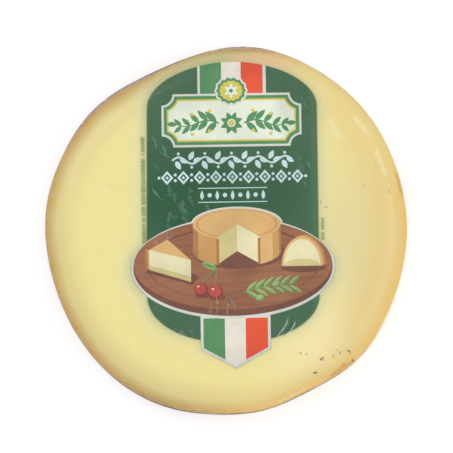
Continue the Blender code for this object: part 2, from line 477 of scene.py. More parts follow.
def cheese_material(colours):
    """Creamy paste that browns into the smoked rind, tinted by what lies on it, with painted shade on the left, at the
    top and beside the print, and painted highlights where air lies under the film.
    """
    material, tree, shader = new_material("smoked_provolone")
    place = object_place(tree)
    mottle = noise(tree, place, 5 * MM, detail=4, seed=8.0)
    paste = paste_colour(tree, place, mottle, colours)
    wander = maths(tree, "SUBTRACT", noise(tree, place, 12 * MM, detail=3, seed=5.0), 0.5)
    rim = maths(tree, "MULTIPLY_ADD", wander, 1.6 * MM, attribute(tree, "from_rim"))
    skin = smoked_colour(tree, place, rim, paste, colours)
    # Patches that the smoke has browned more, and along the top and the left a painted shade, with ragged edges.
    ragged = noise(tree, place, 3 * MM, detail=4, seed=13.0)
    reach = maths(tree, "MULTIPLY_ADD", maths(tree, "SUBTRACT", ragged, 0.5), 2.4 * MM, attribute(tree, "from_browned"))
    across = node(tree, "ShaderNodeSeparateXYZ", {0: place}).outputs[0]
    deeper = blend(tree, rise(tree, across, -5 * MM, 40 * MM), tuple(colours.browned), tuple(colours.amber))
    skin = blend(tree, rise(tree, reach, 3.6 * MM, 0.3 * MM, 0.0, 0.7), skin, deeper)
    shaded = rise(tree, near_place(tree, place, OLIVE_PLACE), 0.0, 1.0, 0.0, 0.5)
    skin = blend(tree, shaded, skin, tuple(colours.olive))
    # Rind on the side: darker patches, and faint upright streaks from the mould.
    patches = noise(tree, place, 16 * MM, detail=5, seed=11.0, roughness=0.6)
    side = rise(tree, attribute(tree, "from_rim"), 1.2 * MM, 0.0)
    aged = maths(tree, "MULTIPLY", rise(tree, patches, 0.45, 0.7, 0.0, 0.5), side)
    skin = blend(tree, aged, skin, tuple(colours.dark))
    streaks = noise(tree, vectors(tree, "MULTIPLY", place, (1.0, 1.0, 0.12)), 2.5 * MM, detail=3, seed=2.0)
    lined = maths(tree, "MULTIPLY", rise(tree, streaks, 0.5, 0.75, 0.0, 0.25), side)
    skin = blend(tree, lined, skin, tuple(colours.tan_right))
    # The print keeps warm light off the paste beside it, least on the right, and its red glows in the paste.
    near_print = attribute(tree, "from_label")
    up = node(tree, "ShaderNodeSeparateXYZ", {0: place}).outputs[1]
    share = maths(tree, "MULTIPLY", rise(tree, across, 0.0, 40 * MM, 1.0, 0.6), rise(tree, up, -56 * MM, -34 * MM, 0.15, 1.0))
    far_shade = maths(tree, "MULTIPLY", rise(tree, near_print, 11 * MM, 0.5 * MM, 0.0, 0.42), share)
    skin = blend(tree, far_shade, skin, tuple(colours.cool))
    near_shade = maths(tree, "MULTIPLY", rise(tree, near_print, 4.6 * MM, 0.2 * MM, 0.0, 0.9), share)
    skin = blend(tree, near_shade, skin, PRINT_SHADE, mode="MULTIPLY")
    skin = blend(tree, rise(tree, attribute(tree, "from_blush"), 7.0 * MM, 0.0, 0.0, 0.55), skin, tuple(colours.blush))
    # Pale spots and streaks where air lies under the film, a painted highlight.
    skin = blend(tree, rise(tree, attribute(tree, "from_blisters"), 2.0 * MM, 0.0, 0.0, 0.36), skin, linear(248, 238, 196))
    grain = noise(tree, place, 0.9 * MM, detail=4, seed=6.0)
    feed(
        tree, shader, Base_Color=skin, Roughness=rise(tree, mottle, 0.3, 0.7, 0.42, 0.55),
        Subsurface_Weight=0.25, Subsurface_Scale=4 * MM, Subsurface_Radius=(1.0, 0.7, 0.35),
        Specular_IOR_Level=0.15, Normal=bump(tree, grain, 0.05 * MM, 0.5),
    )
    return material


def film_material(look):
    """Clear glossy film with fine wrinkles, cloudy where its halves are welded, with a painted shade and a painted
    highlight on the weld.
    """
    material, tree, shader = new_material("clear_film")
    tree.nodes.remove(shader)
    place = object_place(tree)
    fine = noise(tree, stretched(tree, place, math.radians(112), 6 * MM, 0.8 * MM), 1.0, detail=3, seed=4.0)
    soft = noise(tree, place, 9 * MM, detail=2, seed=7.0)
    height = maths(tree, "ADD", maths(tree, "MULTIPLY", fine, 0.35), soft)
    normal = bump(tree, height, 0.25 * MM, 0.6)
    gloss = node(tree, "ShaderNodeBsdfGlossy", {"Color": (1, 1, 1, 1), "Roughness": look.roughness, "Normal": normal})
    clear = node(tree, "ShaderNodeBsdfTransparent", {"Color": (0.985, 0.985, 0.98, 1)})
    # A thin sheet has air on both sides, so it mirrors alike from within and from without.
    facing = node(tree, "ShaderNodeLayerWeight", {"Blend": 0.5, "Normal": normal}).outputs["Facing"]
    glance = maths(tree, "MULTIPLY_ADD", maths(tree, "POWER", facing, 5.0), 0.16, 0.03)
    sheet = node(tree, "ShaderNodeMixShader", {0: glance, 1: clear.outputs[0], 2: gloss.outputs[0]})
    # The weld scatters light where it was trimmed wide, grey-brown on the left as a painted shade and pale on the right
    # as a painted highlight.
    parts = node(tree, "ShaderNodeSeparateXYZ", {0: place}).outputs
    tint = blend(tree, rise(tree, parts[0], 20 * MM, 60 * MM), tuple(look.weld_shaded), tuple(look.weld_highlight))
    weld = node(tree, "ShaderNodeBsdfPrincipled", {"Base Color": tint, "Roughness": 0.35, "Normal": normal})
    ribs = noise(tree, place, 1.2 * MM, detail=2, seed=9.0)
    cloudy = rise(tree, attribute(tree, "trim"), 0.22 * MM, 0.7 * MM, 0.15, 0.95)
    cloudy = maths(tree, "MULTIPLY", cloudy, rise(tree, ribs, 0.25, 0.6, 0.85, 1.0))
    solid = maths(tree, "MULTIPLY", rise(tree, attribute(tree, "fin"), 0.0, 0.12), cloudy)
    both = node(tree, "ShaderNodeMixShader", {0: solid, 1: sheet.outputs[0], 2: weld.outputs[0]})
    tree.links.new(both.outputs[0], tree.nodes["Material Output"].inputs["Surface"])
    return material


def painted_light_material(name, strength, tint=(0.93, 0.97, 0.95)):
    """A fold of film with painted light on it: a pale painted highlight, clear at its edges; a dark tint paints shade
    instead.
    """
    material, tree, shader = new_material(name)
    place = object_place(tree)
    fade = noise(tree, place, 2.0 * MM, detail=2, seed=12.0)
    upright = node(tree, "ShaderNodeSeparateXYZ", {0: node(tree, "ShaderNodeNewGeometry").outputs["Normal"]}).outputs[2]
    crest = maths(tree, "POWER", rise(tree, upright, 0.8, 1.0), 1.5)
    alpha = maths(tree, "MULTIPLY", crest, rise(tree, fade, 0.3, 0.7, strength * 0.35, strength))
    feed(tree, shader, Base_Color=tint, Roughness=0.3, Alpha=alpha)
    return material


def weld_edge_material(name, tint, glow=0.0):
    """The weld's trimmed edge: milky plastic, uneven along its length, tinted as painted shadow, painted shade and
    painted highlight on its stretches, with a painted glow.
    """
    material, tree, shader = new_material(name)
    fade = noise(tree, object_place(tree), 1.6 * MM, detail=2, seed=15.0)
    tone = blend(tree, rise(tree, fade, 0.35, 0.75, 0.0, 0.22), tuple(tint), linear(214, 200, 176))
    feed(tree, shader, Base_Color=tone, Roughness=0.45, Specular_IOR_Level=0.3)
    feed(tree, shader, Emission_Color=(*tint, 1.0), Emission_Strength=glow)
    return material


def ink_material(name, ink, thin=None, sheen=0.45):
    """Printed ink with a fine screen and slow changes in density; thin is its colour where the panel is lightest."""
    material, tree, shader = new_material(f"ink_{name}")
    place = object_place(tree)
    slow = noise(tree, place, 14 * MM, detail=3, seed=1.0)
    screen = noise(tree, place, 0.45 * MM, detail=2, seed=2.0)
    lighter = tuple(min(1.0, channel * 1.10 + 0.006) for channel in ink)
    if thin:
        tone = blend(tree, panel_lightness(tree, place, slow), ink, thin)
    else:
        tone = blend(tree, rise(tree, slow, 0.3, 0.7), tuple(channel * 0.90 for channel in ink), lighter)
        tone = blend(tree, rise(tree, screen, 0.45, 0.8, 0.0, 0.18), tone, lighter)
    feed(tree, shader, Base_Color=tone, Roughness=rise(tree, screen, 0.3, 0.7, sheen - 0.05, sheen + 0.08))
    feed(tree, shader, Specular_IOR_Level=0.1)
    return material


# Where the panel is darkest: the place on the face, and its reach.
DARKER_PANEL_PLACES = (((-16 * MM, 10 * MM, 31 * MM), 40 * MM), ((22 * MM, 16 * MM, 31 * MM), 26 * MM))


def panel_lightness(tree, place, slow):
    """How light the panel is: darkest to the left of its middle, lightest along its right edge."""
    left, right = (near_place(tree, place, spot) for spot in DARKER_PANEL_PLACES)
    thin = maths(tree, "MULTIPLY_ADD", slow, 0.7, 0.35)
    thin = maths(tree, "SUBTRACT", thin, maths(tree, "MULTIPLY", left, 0.95))
    thin = maths(tree, "SUBTRACT", thin, maths(tree, "MULTIPLY", right, 0.45))
    tilt = settings().label.tilt
    along = (math.cos(tilt), math.sin(tilt), 0.0)
    across = node(tree, "ShaderNodeVectorMath", {0: place, 1: along}, operation="DOT_PRODUCT").outputs["Value"]
    edge = rise(tree, across, 33.5 * MM, 37 * MM, 0.0, 0.42)
    return maths(tree, "ADD", maths(tree, "MAXIMUM", thin, 0.0), edge, clamp=True)


def wood_material(name, ink, dark):
    """Printed wood: long grain across the board."""
    material, tree, shader = new_material(f"ink_{name}")
    place = object_place(tree)
    along = stretched(tree, place, math.radians(6), 22 * MM, 1.1 * MM)
    grain = noise(tree, along, 1.0, detail=5, seed=3.0, roughness=0.65)
    slow = noise(tree, place, 18 * MM, detail=2, seed=5.0)
    tone = blend(tree, rise(tree, grain, 0.35, 0.75, 0.0, 0.75), tuple(ink), tuple(dark))
    tone = blend(tree, rise(tree, slow, 0.35, 0.7, 0.0, 0.3), tone, linear(176, 120, 88))
    feed(tree, shader, Base_Color=tone, Roughness=0.45, Specular_IOR_Level=0.1)
    return material


def fleck_material(name, first, second):
    """A crumb of rind caught under the film, uneven in colour."""
    material, tree, shader = new_material(name)
    tone = rise(tree, noise(tree, object_place(tree), 0.5 * MM, seed=4.0), 0.3, 0.7)
    feed(tree, shader, Base_Color=blend(tree, tone, first, second), Roughness=0.5)
    return material


def floor_material(tint):
    """Plain pale floor."""
    material, tree, shader = new_material("pale_floor")
    cloud = noise(tree, object_place(tree), 0.4, detail=2, seed=1.0)
    darker = tuple(channel * 0.985 for channel in tint)
    feed(tree, shader, Base_Color=blend(tree, cloud, darker, tuple(tint)), Roughness=0.7)
    # A lit floor: it stays white close to the slice.
    feed(tree, shader, Emission_Color=(0.85, 0.95, 1.2, 1.0), Emission_Strength=0.2)
    return material


# ---------------------------------------------------------------- geometry node trees


def new_tree(name, inputs, output="NodeSocketGeometry"):
    """A Geometry Nodes tree with named inputs, and the sockets that they come out of."""
    tree = bpy.data.node_groups.new(name, "GeometryNodeTree")
    for label, kind in inputs:
        tree.interface.new_socket(label, in_out="INPUT", socket_type=f"NodeSocket{kind}")
    tree.interface.new_socket("Geometry", in_out="OUTPUT", socket_type=output)
    return tree, tree.nodes.new("NodeGroupInput").outputs


def end_tree(tree, geometry, material):
    """Smooths, realizes and paints what a tree has made, and puts it out."""
    smooth = node(tree, "GeometryNodeSetShadeSmooth", {"Geometry": geometry}).outputs[0]
    real = node(tree, "GeometryNodeRealizeInstances", {"Geometry": smooth}).outputs[0]
    painted = node(tree, "GeometryNodeSetMaterial", {"Geometry": real, "Material": material}).outputs[0]
    node(tree, "NodeGroupOutput", {"Geometry": painted})


def guide_geometry(tree, guide):
    """The geometry of a guide object."""
    return node(tree, "GeometryNodeObjectInfo", {"Object": guide}).outputs["Geometry"]


def store(tree, geometry, name, value):
    """Stores a number on each point, for the material."""
    inputs = {"Geometry": geometry, "Name": name, "Value": value}
    return node(tree, "GeometryNodeStoreNamedAttribute", inputs, data_type="FLOAT", domain="POINT").outputs[0]


def read_number(tree, name):
    """A stored number, read in a tree."""
    return node(tree, "GeometryNodeInputNamedAttribute", {"Name": name}, data_type="FLOAT").outputs[0]


def along_normal(tree, geometry, height):
    """Moves each point along its normal."""
    normal = node(tree, "GeometryNodeInputNormal").outputs[0]
    offset = vectors(tree, "SCALE", normal, scale=height)
    return node(tree, "GeometryNodeSetPosition", {"Geometry": geometry, "Offset": offset}).outputs[0]


PRESSED_INPUTS = (
    ("Side Outline", "Object"),
    ("Seam Outline", "Object"),
    ("Section", "Object"),
    ("Turned Radius", "Float"),
    ("Steps Round", "Int"),
    ("Steps Down", "Int"),
)


def pressed_slice_group():
    """A half section swept round the slice's axis and pressed to its outlines.

    The section's points are: distance from the axis, share of the way out to the seam's edge, height.
    """
    tree, given = new_tree("Pressed Slice", PRESSED_INPUTS)
    columns = maths(tree, "ADD", given["Steps Round"], 1.0)
    grid = node(tree, "GeometryNodeMeshGrid", {"Vertices X": columns, "Vertices Y": given["Steps Down"]})
    place = node(tree, "ShaderNodeSeparateXYZ", {0: grid.outputs["UV Map"]}).outputs
    rings = []
    for outline in ("Side Outline", "Seam Outline"):
        inputs = {"Curves": guide_geometry(tree, given[outline]), "Factor": place[0]}
        sample = node(tree, "GeometryNodeSampleCurve", inputs, mode="FACTOR", use_all_curves=True)
        rings.append(sample.outputs["Position"])
    last_row = maths(tree, "SUBTRACT", given["Steps Down"], 1.0)
    row = maths(tree, "ROUND", maths(tree, "MULTIPLY", place[1], last_row))
    inputs = {
        "Geometry": guide_geometry(tree, given["Section"]),
        "Value": node(tree, "GeometryNodeInputPosition").outputs[0],
        "Index": row,
    }
    sample = node(tree, "GeometryNodeSampleIndex", inputs, data_type="FLOAT_VECTOR", domain="POINT")
    section = node(tree, "ShaderNodeSeparateXYZ", {0: sample.outputs[0]}).outputs
    part = maths(tree, "DIVIDE", section[0], given["Turned Radius"])
    body = vectors(tree, "SCALE", rings[0], scale=part)
    fin = vectors(tree, "SCALE", vectors(tree, "SUBTRACT", rings[1], rings[0]), scale=section[1])
    upright = node(tree, "ShaderNodeCombineXYZ", {2: section[2]}).outputs[0]
    target = vectors(tree, "ADD", vectors(tree, "ADD", body, fin), upright)
    shaped = node(tree, "GeometryNodeSetPosition", {"Geometry": grid.outputs["Mesh"], "Position": target})
    from_rim = maths(tree, "SUBTRACT", given["Turned Radius"], section[0])
    stored = store(tree, shaped.outputs[0], "from_rim", from_rim)
    stored = store(tree, stored, "fin", section[1])
    width = node(tree, "ShaderNodeVectorMath", {0: rings[1], 1: rings[0]}, operation="DISTANCE").outputs["Value"]
    stored = store(tree, stored, "trim", width)
    closed = node(tree, "GeometryNodeMergeByDistance", {"Geometry": stored, "Distance": 0.001 * MM})
    node(tree, "NodeGroupOutput", {"Geometry": closed.outputs[0]})
    return tree


def use_pressed_slice(tree, given, group):
    """The pressed slice inside another tree that has the same inputs."""
    inputs = {name: given[name] for name, _ in PRESSED_INPUTS}
    made = tree.nodes.new("GeometryNodeGroup")
    made.node_tree = group
    for name, socket in inputs.items():
        tree.links.new(socket, made.inputs[name])
    return made.outputs[0]


def cheese_tree(group):
    """The cheese: the pressed slice, gently uneven, with its distance from the label stored."""
    own = (
        ("Label", "Object"), ("Browned", "Object"), ("Blush", "Object"), ("Blisters", "Object"),
        ("Unevenness", "Float"), ("Seed", "Float"), ("Material", "Material"),
    )
    tree, given = new_tree("Provolone Slice", PRESSED_INPUTS + own)
    body = use_pressed_slice(tree, given, group)
    place = node(tree, "GeometryNodeInputPosition").outputs[0]
    broad = noise(tree, place, 22 * MM, detail=2, seed=given["Seed"])
    lumps = noise(tree, place, 7 * MM, detail=2, seed=given["Seed"])
    at_side = rise(tree, read_number(tree, "from_rim"), 8 * MM, 1 * MM)
    waves = maths(tree, "ADD", maths(tree, "SUBTRACT", broad, 0.5), maths(tree, "MULTIPLY", lumps, at_side))
    body = along_normal(tree, body, maths(tree, "MULTIPLY", waves, given["Unevenness"]))
    for name, target in (("Label", "FACES"), ("Browned", "POINTS"), ("Blush", "POINTS"), ("Blisters", "POINTS")):
        near = {"Geometry": guide_geometry(tree, given[name]), "Sample Position": place}
        distance = node(tree, "GeometryNodeProximity", near, target_element=target).outputs["Distance"]
        body = store(tree, body, f"from_{name.lower()}", distance)
    end_tree(tree, body, given["Material"])
    return tree


def film_tree(group):
    """The film: the pressed slice with its fin, gathered round the side and lifted over small bubbles."""
    own = (
        ("Blisters", "Object"), ("Blister Height", "Float"), ("Blister Reach", "Float"), ("Pleats", "Float"),
        ("Pleat Depth", "Float"), ("Ruffle", "Float"), ("Seed", "Float"), ("Material", "Material"),
    )
    tree, given = new_tree("Vacuum Film", PRESSED_INPUTS + own)
    body = use_pressed_slice(tree, given, group)
    place = node(tree, "GeometryNodeInputPosition").outputs[0]
    fin = read_number(tree, "fin")
    parts = node(tree, "ShaderNodeSeparateXYZ", {0: place}).outputs
    flat = vectors(tree, "MULTIPLY", place, (1.0, 1.0, 0.0))
    compass = vectors(tree, "SCALE", vectors(tree, "NORMALIZE", flat), scale=given["Pleats"])
    slow_rise = node(tree, "ShaderNodeCombineXYZ", {2: maths(tree, "DIVIDE", parts[2], 14 * MM)}).outputs[0]
    gathers = noise(tree, vectors(tree, "ADD", compass, slow_rise), 1.0, detail=2, seed=given["Seed"])
    ridge = maths(tree, "ABSOLUTE", maths(tree, "SUBTRACT", gathers, 0.5))
    ridge = maths(tree, "POWER", rise(tree, ridge, 0.14, 0.0), 1.5)
    at_side = rise(tree, read_number(tree, "from_rim"), 7 * MM, 0.5 * MM)
    off_floor = rise(tree, parts[2], 0.5 * MM, 5 * MM)
    off_fin = maths(tree, "SUBTRACT", 1.0, fin)
    gathered = maths(tree, "MULTIPLY", maths(tree, "MULTIPLY", ridge, at_side), maths(tree, "MULTIPLY", off_floor, off_fin))
    height = maths(tree, "MULTIPLY", gathered, given["Pleat Depth"])
    near = {"Geometry": guide_geometry(tree, given["Blisters"]), "Sample Position": place}
    distance = node(tree, "GeometryNodeProximity", near, target_element="POINTS").outputs["Distance"]
    dome = rise(tree, distance, given["Blister Reach"], 0.0)
    height = maths(tree, "MULTIPLY_ADD", dome, given["Blister Height"], height)
    body = along_normal(tree, body, height)
    waving = noise(tree, vectors(tree, "SCALE", compass, scale=0.35), 1.0, detail=3, seed=given["Seed"])
    waving = maths(tree, "MULTIPLY", maths(tree, "SUBTRACT", waving, 0.5), fin)
    waving = node(tree, "ShaderNodeCombineXYZ", {2: maths(tree, "MULTIPLY", waving, given["Ruffle"])})
    body = node(tree, "GeometryNodeSetPosition", {"Geometry": body, "Offset": waving.outputs[0]}).outputs[0]
    end_tree(tree, body, given["Material"])
    return tree


def stroke_tree():
    """Low tapered strokes along guide curves, whose points' radius is half the stroke's width."""
    inputs = (("Paths", "Object"), ("Steps", "Int"), ("Flatness", "Float"), ("Material", "Material"))
    tree, given = new_tree("Tapered Strokes", inputs)
    paths = guide_geometry(tree, given["Paths"])
    paths = node(tree, "GeometryNodeResampleCurve", {"Curve": paths, "Count": given["Steps"]}).outputs[0]
    along = node(tree, "GeometryNodeSplineParameter").outputs["Factor"]
    taper = maths(tree, "SINE", maths(tree, "MULTIPLY", along, math.pi))
    taper = maths(tree, "POWER", maths(tree, "MAXIMUM", taper, 0.02), 0.7)
    half_width = maths(tree, "MULTIPLY", node(tree, "GeometryNodeInputRadius").outputs[0], taper)
    paths = node(tree, "GeometryNodeSetCurveNormal", {"Curve": paths}, mode="Z_UP").outputs[0]
    ring = node(tree, "GeometryNodeCurvePrimitiveCircle", {"Resolution": 10, "Radius": 1.0}).outputs["Curve"]
    squeeze = node(tree, "ShaderNodeCombineXYZ", {0: 1.0, 1: given["Flatness"], 2: 1.0}).outputs[0]
    ring = node(tree, "GeometryNodeTransform", {"Geometry": ring, "Scale": squeeze}).outputs[0]
    inputs = {"Curve": paths, "Profile Curve": ring, "Scale": half_width, "Fill Caps": True}
    swept = node(tree, "GeometryNodeCurveToMesh", inputs).outputs[0]
    end_tree(tree, swept, given["Material"])
    return tree


def dash_tree():
    """A column of short dashes on the cheese, with some left out at random."""
    inputs = (
        ("Start", "Vector"), ("End", "Vector"), ("Dashes", "Int"), ("Dash Size", "Vector"), ("Kept", "Float"),
        ("Seed", "Int"), ("Material", "Material"),
    )
    tree, given = new_tree("Margin Dashes", inputs)
    line = {"Count": given["Dashes"], "Start Location": given["Start"], "Offset": given["End"]}
    points = node(tree, "GeometryNodeMeshLine", line, mode="END_POINTS", count_mode="TOTAL").outputs[0]
    dash = node(tree, "GeometryNodeMeshCube", {"Size": given["Dash Size"]}).outputs["Mesh"]
    kept = node(tree, "FunctionNodeRandomValue", data_type="BOOLEAN")
    tree.links.new(given["Kept"], kept.inputs["Probability"])
    tree.links.new(given["Seed"], kept.inputs["Seed"])
    spread = node(tree, "FunctionNodeRandomValue", data_type="FLOAT_VECTOR")
    spread.inputs[0].default_value = (0.55, 0.7, 1.0)
    spread.inputs[1].default_value = (1.0, 1.2, 1.0)
    tree.links.new(given["Seed"], spread.inputs["Seed"])
    inputs = {"Points": points, "Instance": dash, "Selection": kept.outputs[3], "Scale": spread.outputs[0]}
    dashes = node(tree, "GeometryNodeInstanceOnPoints", inputs).outputs[0]
    end_tree(tree, dashes, given["Material"])
    return tree


def link(made):
    """Puts an object in the scene."""
    bpy.context.scene.collection.objects.link(made)
    return made


def bake(name, tree, values):
    """Runs a tree on an empty mesh, with its inputs set, and keeps the result as a plain mesh object."""
    piece = link(bpy.data.objects.new(name, bpy.data.meshes.new(name)))
    modifier = piece.modifiers.new("shape", "NODES")
    modifier.node_group = tree
    for item in tree.interface.items_tree:
        if item.in_out == "INPUT":
            modifier[item.identifier] = values[item.name]
    graph = bpy.context.evaluated_depsgraph_get()
    mesh = bpy.data.meshes.new_from_object(piece.evaluated_get(graph))
    piece.modifiers.remove(modifier)
    piece.data = mesh
    return piece


def dress(piece, slot, *nodes):
    """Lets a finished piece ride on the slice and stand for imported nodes."""
    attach(piece, BODY)
    if nodes:
        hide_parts(*nodes)


# ---------------------------------------------------------------- guides


def outline_guide(name, ring):
    """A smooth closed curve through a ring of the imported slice, laid flat."""
    curve = bpy.data.curves.new(name, "CURVE")
    curve.dimensions = "3D"
    curve.resolution_u = 8
    spline = curve.splines.new("BEZIER")
    spline.bezier_points.add(len(ring) - 1)
    for point, place in zip(spline.bezier_points, ring):
        point.co = (place[0], place[1], 0.0)
        point.handle_left_type = "AUTO"
        point.handle_right_type = "AUTO"
    spline.use_cyclic_u = True
    return link(bpy.data.objects.new(name, curve))


def point_guide(name, points):
    """Loose points as an object."""
    mesh = bpy.data.meshes.new(name)
    mesh.from_pydata([tuple(point) for point in points], [], [])
    return link(bpy.data.objects.new(name, mesh))


def path_guide(name, paths):
    """Open paths as one curve object: each path is its points and half its width."""
    curve = bpy.data.curves.new(name, "CURVE")
    curve.dimensions = "3D"
    for points, half_width in paths:
        spline = curve.splines.new("POLY")
        spline.points.add(len(points) - 1)
        for made, place in zip(spline.points, points):
            made.co = (*place, 1.0)
            made.radius = half_width
    return link(bpy.data.objects.new(name, curve))


def remove_guides(*guides):
    """Deletes guides once a tree has run."""
    for guide in guides:
        bpy.data.objects.remove(guide)


FACE_ROWS = 72
SHOULDER_ROWS = 26
FOOT_ROWS = 10
UNDER_ROWS = 12


def section_points(packed, shape, lifts, seam=None):
    """The half section from the top of the axis down to the middle of the foot.

    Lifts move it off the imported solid's top, side and underside. The seam is its root's and its tip's thickness.
    """
    top, side, under = lifts
    radius = shape.turned_radius
    flat = radius - shape.shoulder_width
    rows = [(flat * i / FACE_ROWS, 0.0) for i in range(FACE_ROWS)]
    rows += [(flat + shape.shoulder_width * math.sin(a), a) for a in quarter(SHOULDER_ROWS)]
    points = []
    for reach, angle in rows:
        height = float(face_height(shape, packed, reach))
        points.append((reach + side * math.sin(angle), 0.0, height + top * math.cos(angle)))
    if seam:
        root, tip = seam
        out = radius + side
        ledge = 1.5 * MM
        for share_out, half in ((0.0, root), (0.15, root * 0.45 + tip * 0.3), (0.5, tip * 0.6), (1.0, tip * 0.5)):
            points.append((out, share_out, packed.seam + half + ledge * (1 - share_out) ** 8))
        for share_out, half in ((1.0, tip * 0.5), (0.5, tip * 0.6), (0.15, root * 0.45 + tip * 0.3), (0.0, root)):
            points.append((out, share_out, packed.seam - half - ledge * (1 - share_out) ** 8))
    for angle in quarter(FOOT_ROWS):
        reach = radius - shape.foot_width * (1 - math.cos(angle))
        height = packed.foot * (1 - math.sin(angle))
        points.append((reach + side * math.cos(angle), 0.0, height + under * math.sin(angle)))
    flat = radius - shape.foot_width
    points += [(flat * (1 - i / UNDER_ROWS), 0.0, under) for i in range(1, UNDER_ROWS + 1)]
    return points


def quarter(steps):
    """Even steps through a quarter turn."""
    return [math.pi / 2 * i / steps for i in range(steps + 1)]


# ---------------------------------------------------------------- drawing on the label, in millimetres

Field = namedtuple("Field", "ink outline within", defaults=(None,))

PANEL_HALF_WIDTH = 35.05
PANEL_SHOULDERS = (-31.5, 45.3)
PANEL_ARCHES = (19.8, 18.6)
ARCH_POWERS = (2.1, 1.97)
PANEL_LEAN = 0.0165
PANEL_LEAN_SPAN = (-15.0, 19.0, 45.3)
OVAL_MIDDLE = (-0.3, -20.5)
OVAL_HALF = (41.7, 20.8)
PENNANT_MIDDLE = 0.4
PENNANT_HALF_WIDTH = 14.3
PENNANT_CORNERS = -53.7
PENNANT_TIP = -61.7
LABEL_TOP = PANEL_SHOULDERS[1] + PANEL_ARCHES[1]
LINE_STEP = 0.7


def arc(x, y, half_width, half_height, start=0.0, end=360.0, tilt=0.0):
    """Points along an ellipse from one angle to another, in degrees; a whole ellipse by default."""
    whole = abs(end - start) >= 360
    length = math.radians(abs(end - start)) * max(half_width, half_height)
    steps = max(16, int(length / LINE_STEP))
    angles = [math.radians(start + (end - start) * i / steps) for i in range(steps + (0 if whole else 1))]
    lean = math.radians(tilt)
    points = []
    for angle in angles:
        across, up = half_width * math.cos(angle), half_height * math.sin(angle)
        points.append(
            (x + across * math.cos(lean) - up * math.sin(lean), y + across * math.sin(lean) + up * math.cos(lean))
        )
    return points


def block(x0, y0, x1, y1):
    """An upright rectangle."""
    return [(x0, y0), (x1, y0), (x1, y1), (x0, y1)]


def mirrored(fields):
    """The same fields on the other side of the label's middle line."""
    return [Field(f.ink, [(-x, y) for x, y in reversed(f.outline)], f.within) for f in fields]


def placed(points, x, y, direction=0.0, scale=1.0):
    """An outline turned, scaled and moved."""
    c, s = math.cos(math.radians(direction)) * scale, math.sin(math.radians(direction)) * scale
    return [(x + c * px - s * py, y + s * px + c * py) for px, py in points]


def grown(points, by):
    """An outline pushed outwards by a distance."""
    pts = np.array(points)
    ahead, behind = np.roll(pts, -1, axis=0), np.roll(pts, 1, axis=0)
    along = ahead - behind
    out = np.stack([along[:, 1], -along[:, 0]], axis=1)
    out /= np.maximum(np.linalg.norm(out, axis=1, keepdims=True), 1e-9)
    turning = np.sum(pts[:, 0] * ahead[:, 1] - ahead[:, 0] * pts[:, 1])
    return [tuple(p) for p in pts + out * by * (1 if turning > 0 else -1)]


def leaf_shape(length, width, steps=7):
    """A pointed leaf along +X from its stalk."""
    side = []
    for i in range(1, steps):
        t = i / steps
        side.append((length * t, width / 2 * math.sin(math.pi * t ** 0.85) ** 0.9))
    return [(0.0, 0.0)] + [(x, -y) for x, y in side] + [(length, 0.0)] + side[::-1]


def ribbon_along(points, width, taper=1.0):
    """A band along a path, narrowing to a share of its width at its end."""
    left, right = [], []
    for i, (x, y) in enumerate(points):
        x0, y0 = points[max(i - 1, 0)]
        x1, y1 = points[min(i + 1, len(points) - 1)]
        length = math.hypot(x1 - x0, y1 - y0) or 1.0
        nx, ny = -(y1 - y0) / length, (x1 - x0) / length
        half = width / 2 * (1 + (taper - 1) * i / (len(points) - 1))
        left.append((x + nx * half, y + ny * half))
        right.append((x - nx * half, y - ny * half))
    return right + left[::-1]


def panel_outline(inset=0.0):
    """The panel: straight sides between two arches."""
    foot, upright, head = PANEL_LEAN_SPAN
    points = []
    for side, start, lean in ((1, 0, head), (0, 180, foot)):
        tall, power = PANEL_ARCHES[side] - inset, 2 / ARCH_POWERS[side]
        for i in range(61):
            angle = math.radians(start + 3 * i)
            c, s = math.cos(angle), math.sin(angle)
            half = PANEL_HALF_WIDTH - inset + (PANEL_LEAN * (upright - lean) if c < 0 else 0.0)
            x = math.copysign(abs(c) ** power, c) * half
            points.append((x, PANEL_SHOULDERS[side] + math.copysign(abs(s) ** power, s) * tall))
        if side:
            points.append((-PANEL_HALF_WIDTH + inset - PANEL_LEAN * (upright - foot), foot))
    return points


def pennant_outline(inset=0.0):
    """The pennant: a strip with a pointed lower end."""
    left, right = PENNANT_MIDDLE - PENNANT_HALF_WIDTH + inset, PENNANT_MIDDLE + PENNANT_HALF_WIDTH - inset
    corners = PENNANT_CORNERS + inset * 0.5
    return [(right, -38.0), (left, -38.0), (left, corners), (PENNANT_MIDDLE, PENNANT_TIP + inset * 1.2), (right, corners)]


def draw_panel():
    """The green ground with its thin paler edge."""
    return [Field("fringe", panel_outline()), Field("panel", panel_outline(0.25))]


def draw_ribbon():
    """Three upright stripes between pale borders, from the arch down to the plaque."""
    stripes = (("border", -13.7, -12.7), ("green", -12.7, -3.95), ("white", -3.95, 4.05), ("red", 4.05, 13.0), ("border", 13.0, 14.3))
    return [Field(ink, block(left, 46.0, right, LABEL_TOP + 1), panel_outline()) for ink, left, right in stripes]


def cartouche(x, y, half_width, half_height, corner, inset):
    """A rectangle with hollow round corners, drawn in by an inset."""
    w, h, bite = half_width - inset, half_height - inset, corner + inset
    off = math.degrees(math.asin(inset / bite))
    points = []
    for sx, sy, start in ((1, 1, 270), (-1, 1, 0), (-1, -1, 90), (1, -1, 180)):
        middle = (x + sx * half_width, y + sy * half_height)
        points += arc(*middle, bite, bite, start - off, start - 90 + off)
    return points


PLAQUE = (0.0, 40.0, 28.6, 10.9, 4.6)


def draw_plaque():
    """The pale plaque inside a white, a green and a gold line."""
    rings = (("border", 0.0), ("green", 0.9), ("gold", 2.2), ("plaque", 2.9))
    return [Field(ink, cartouche(*PLAQUE, inset)) for ink, inset in rings]


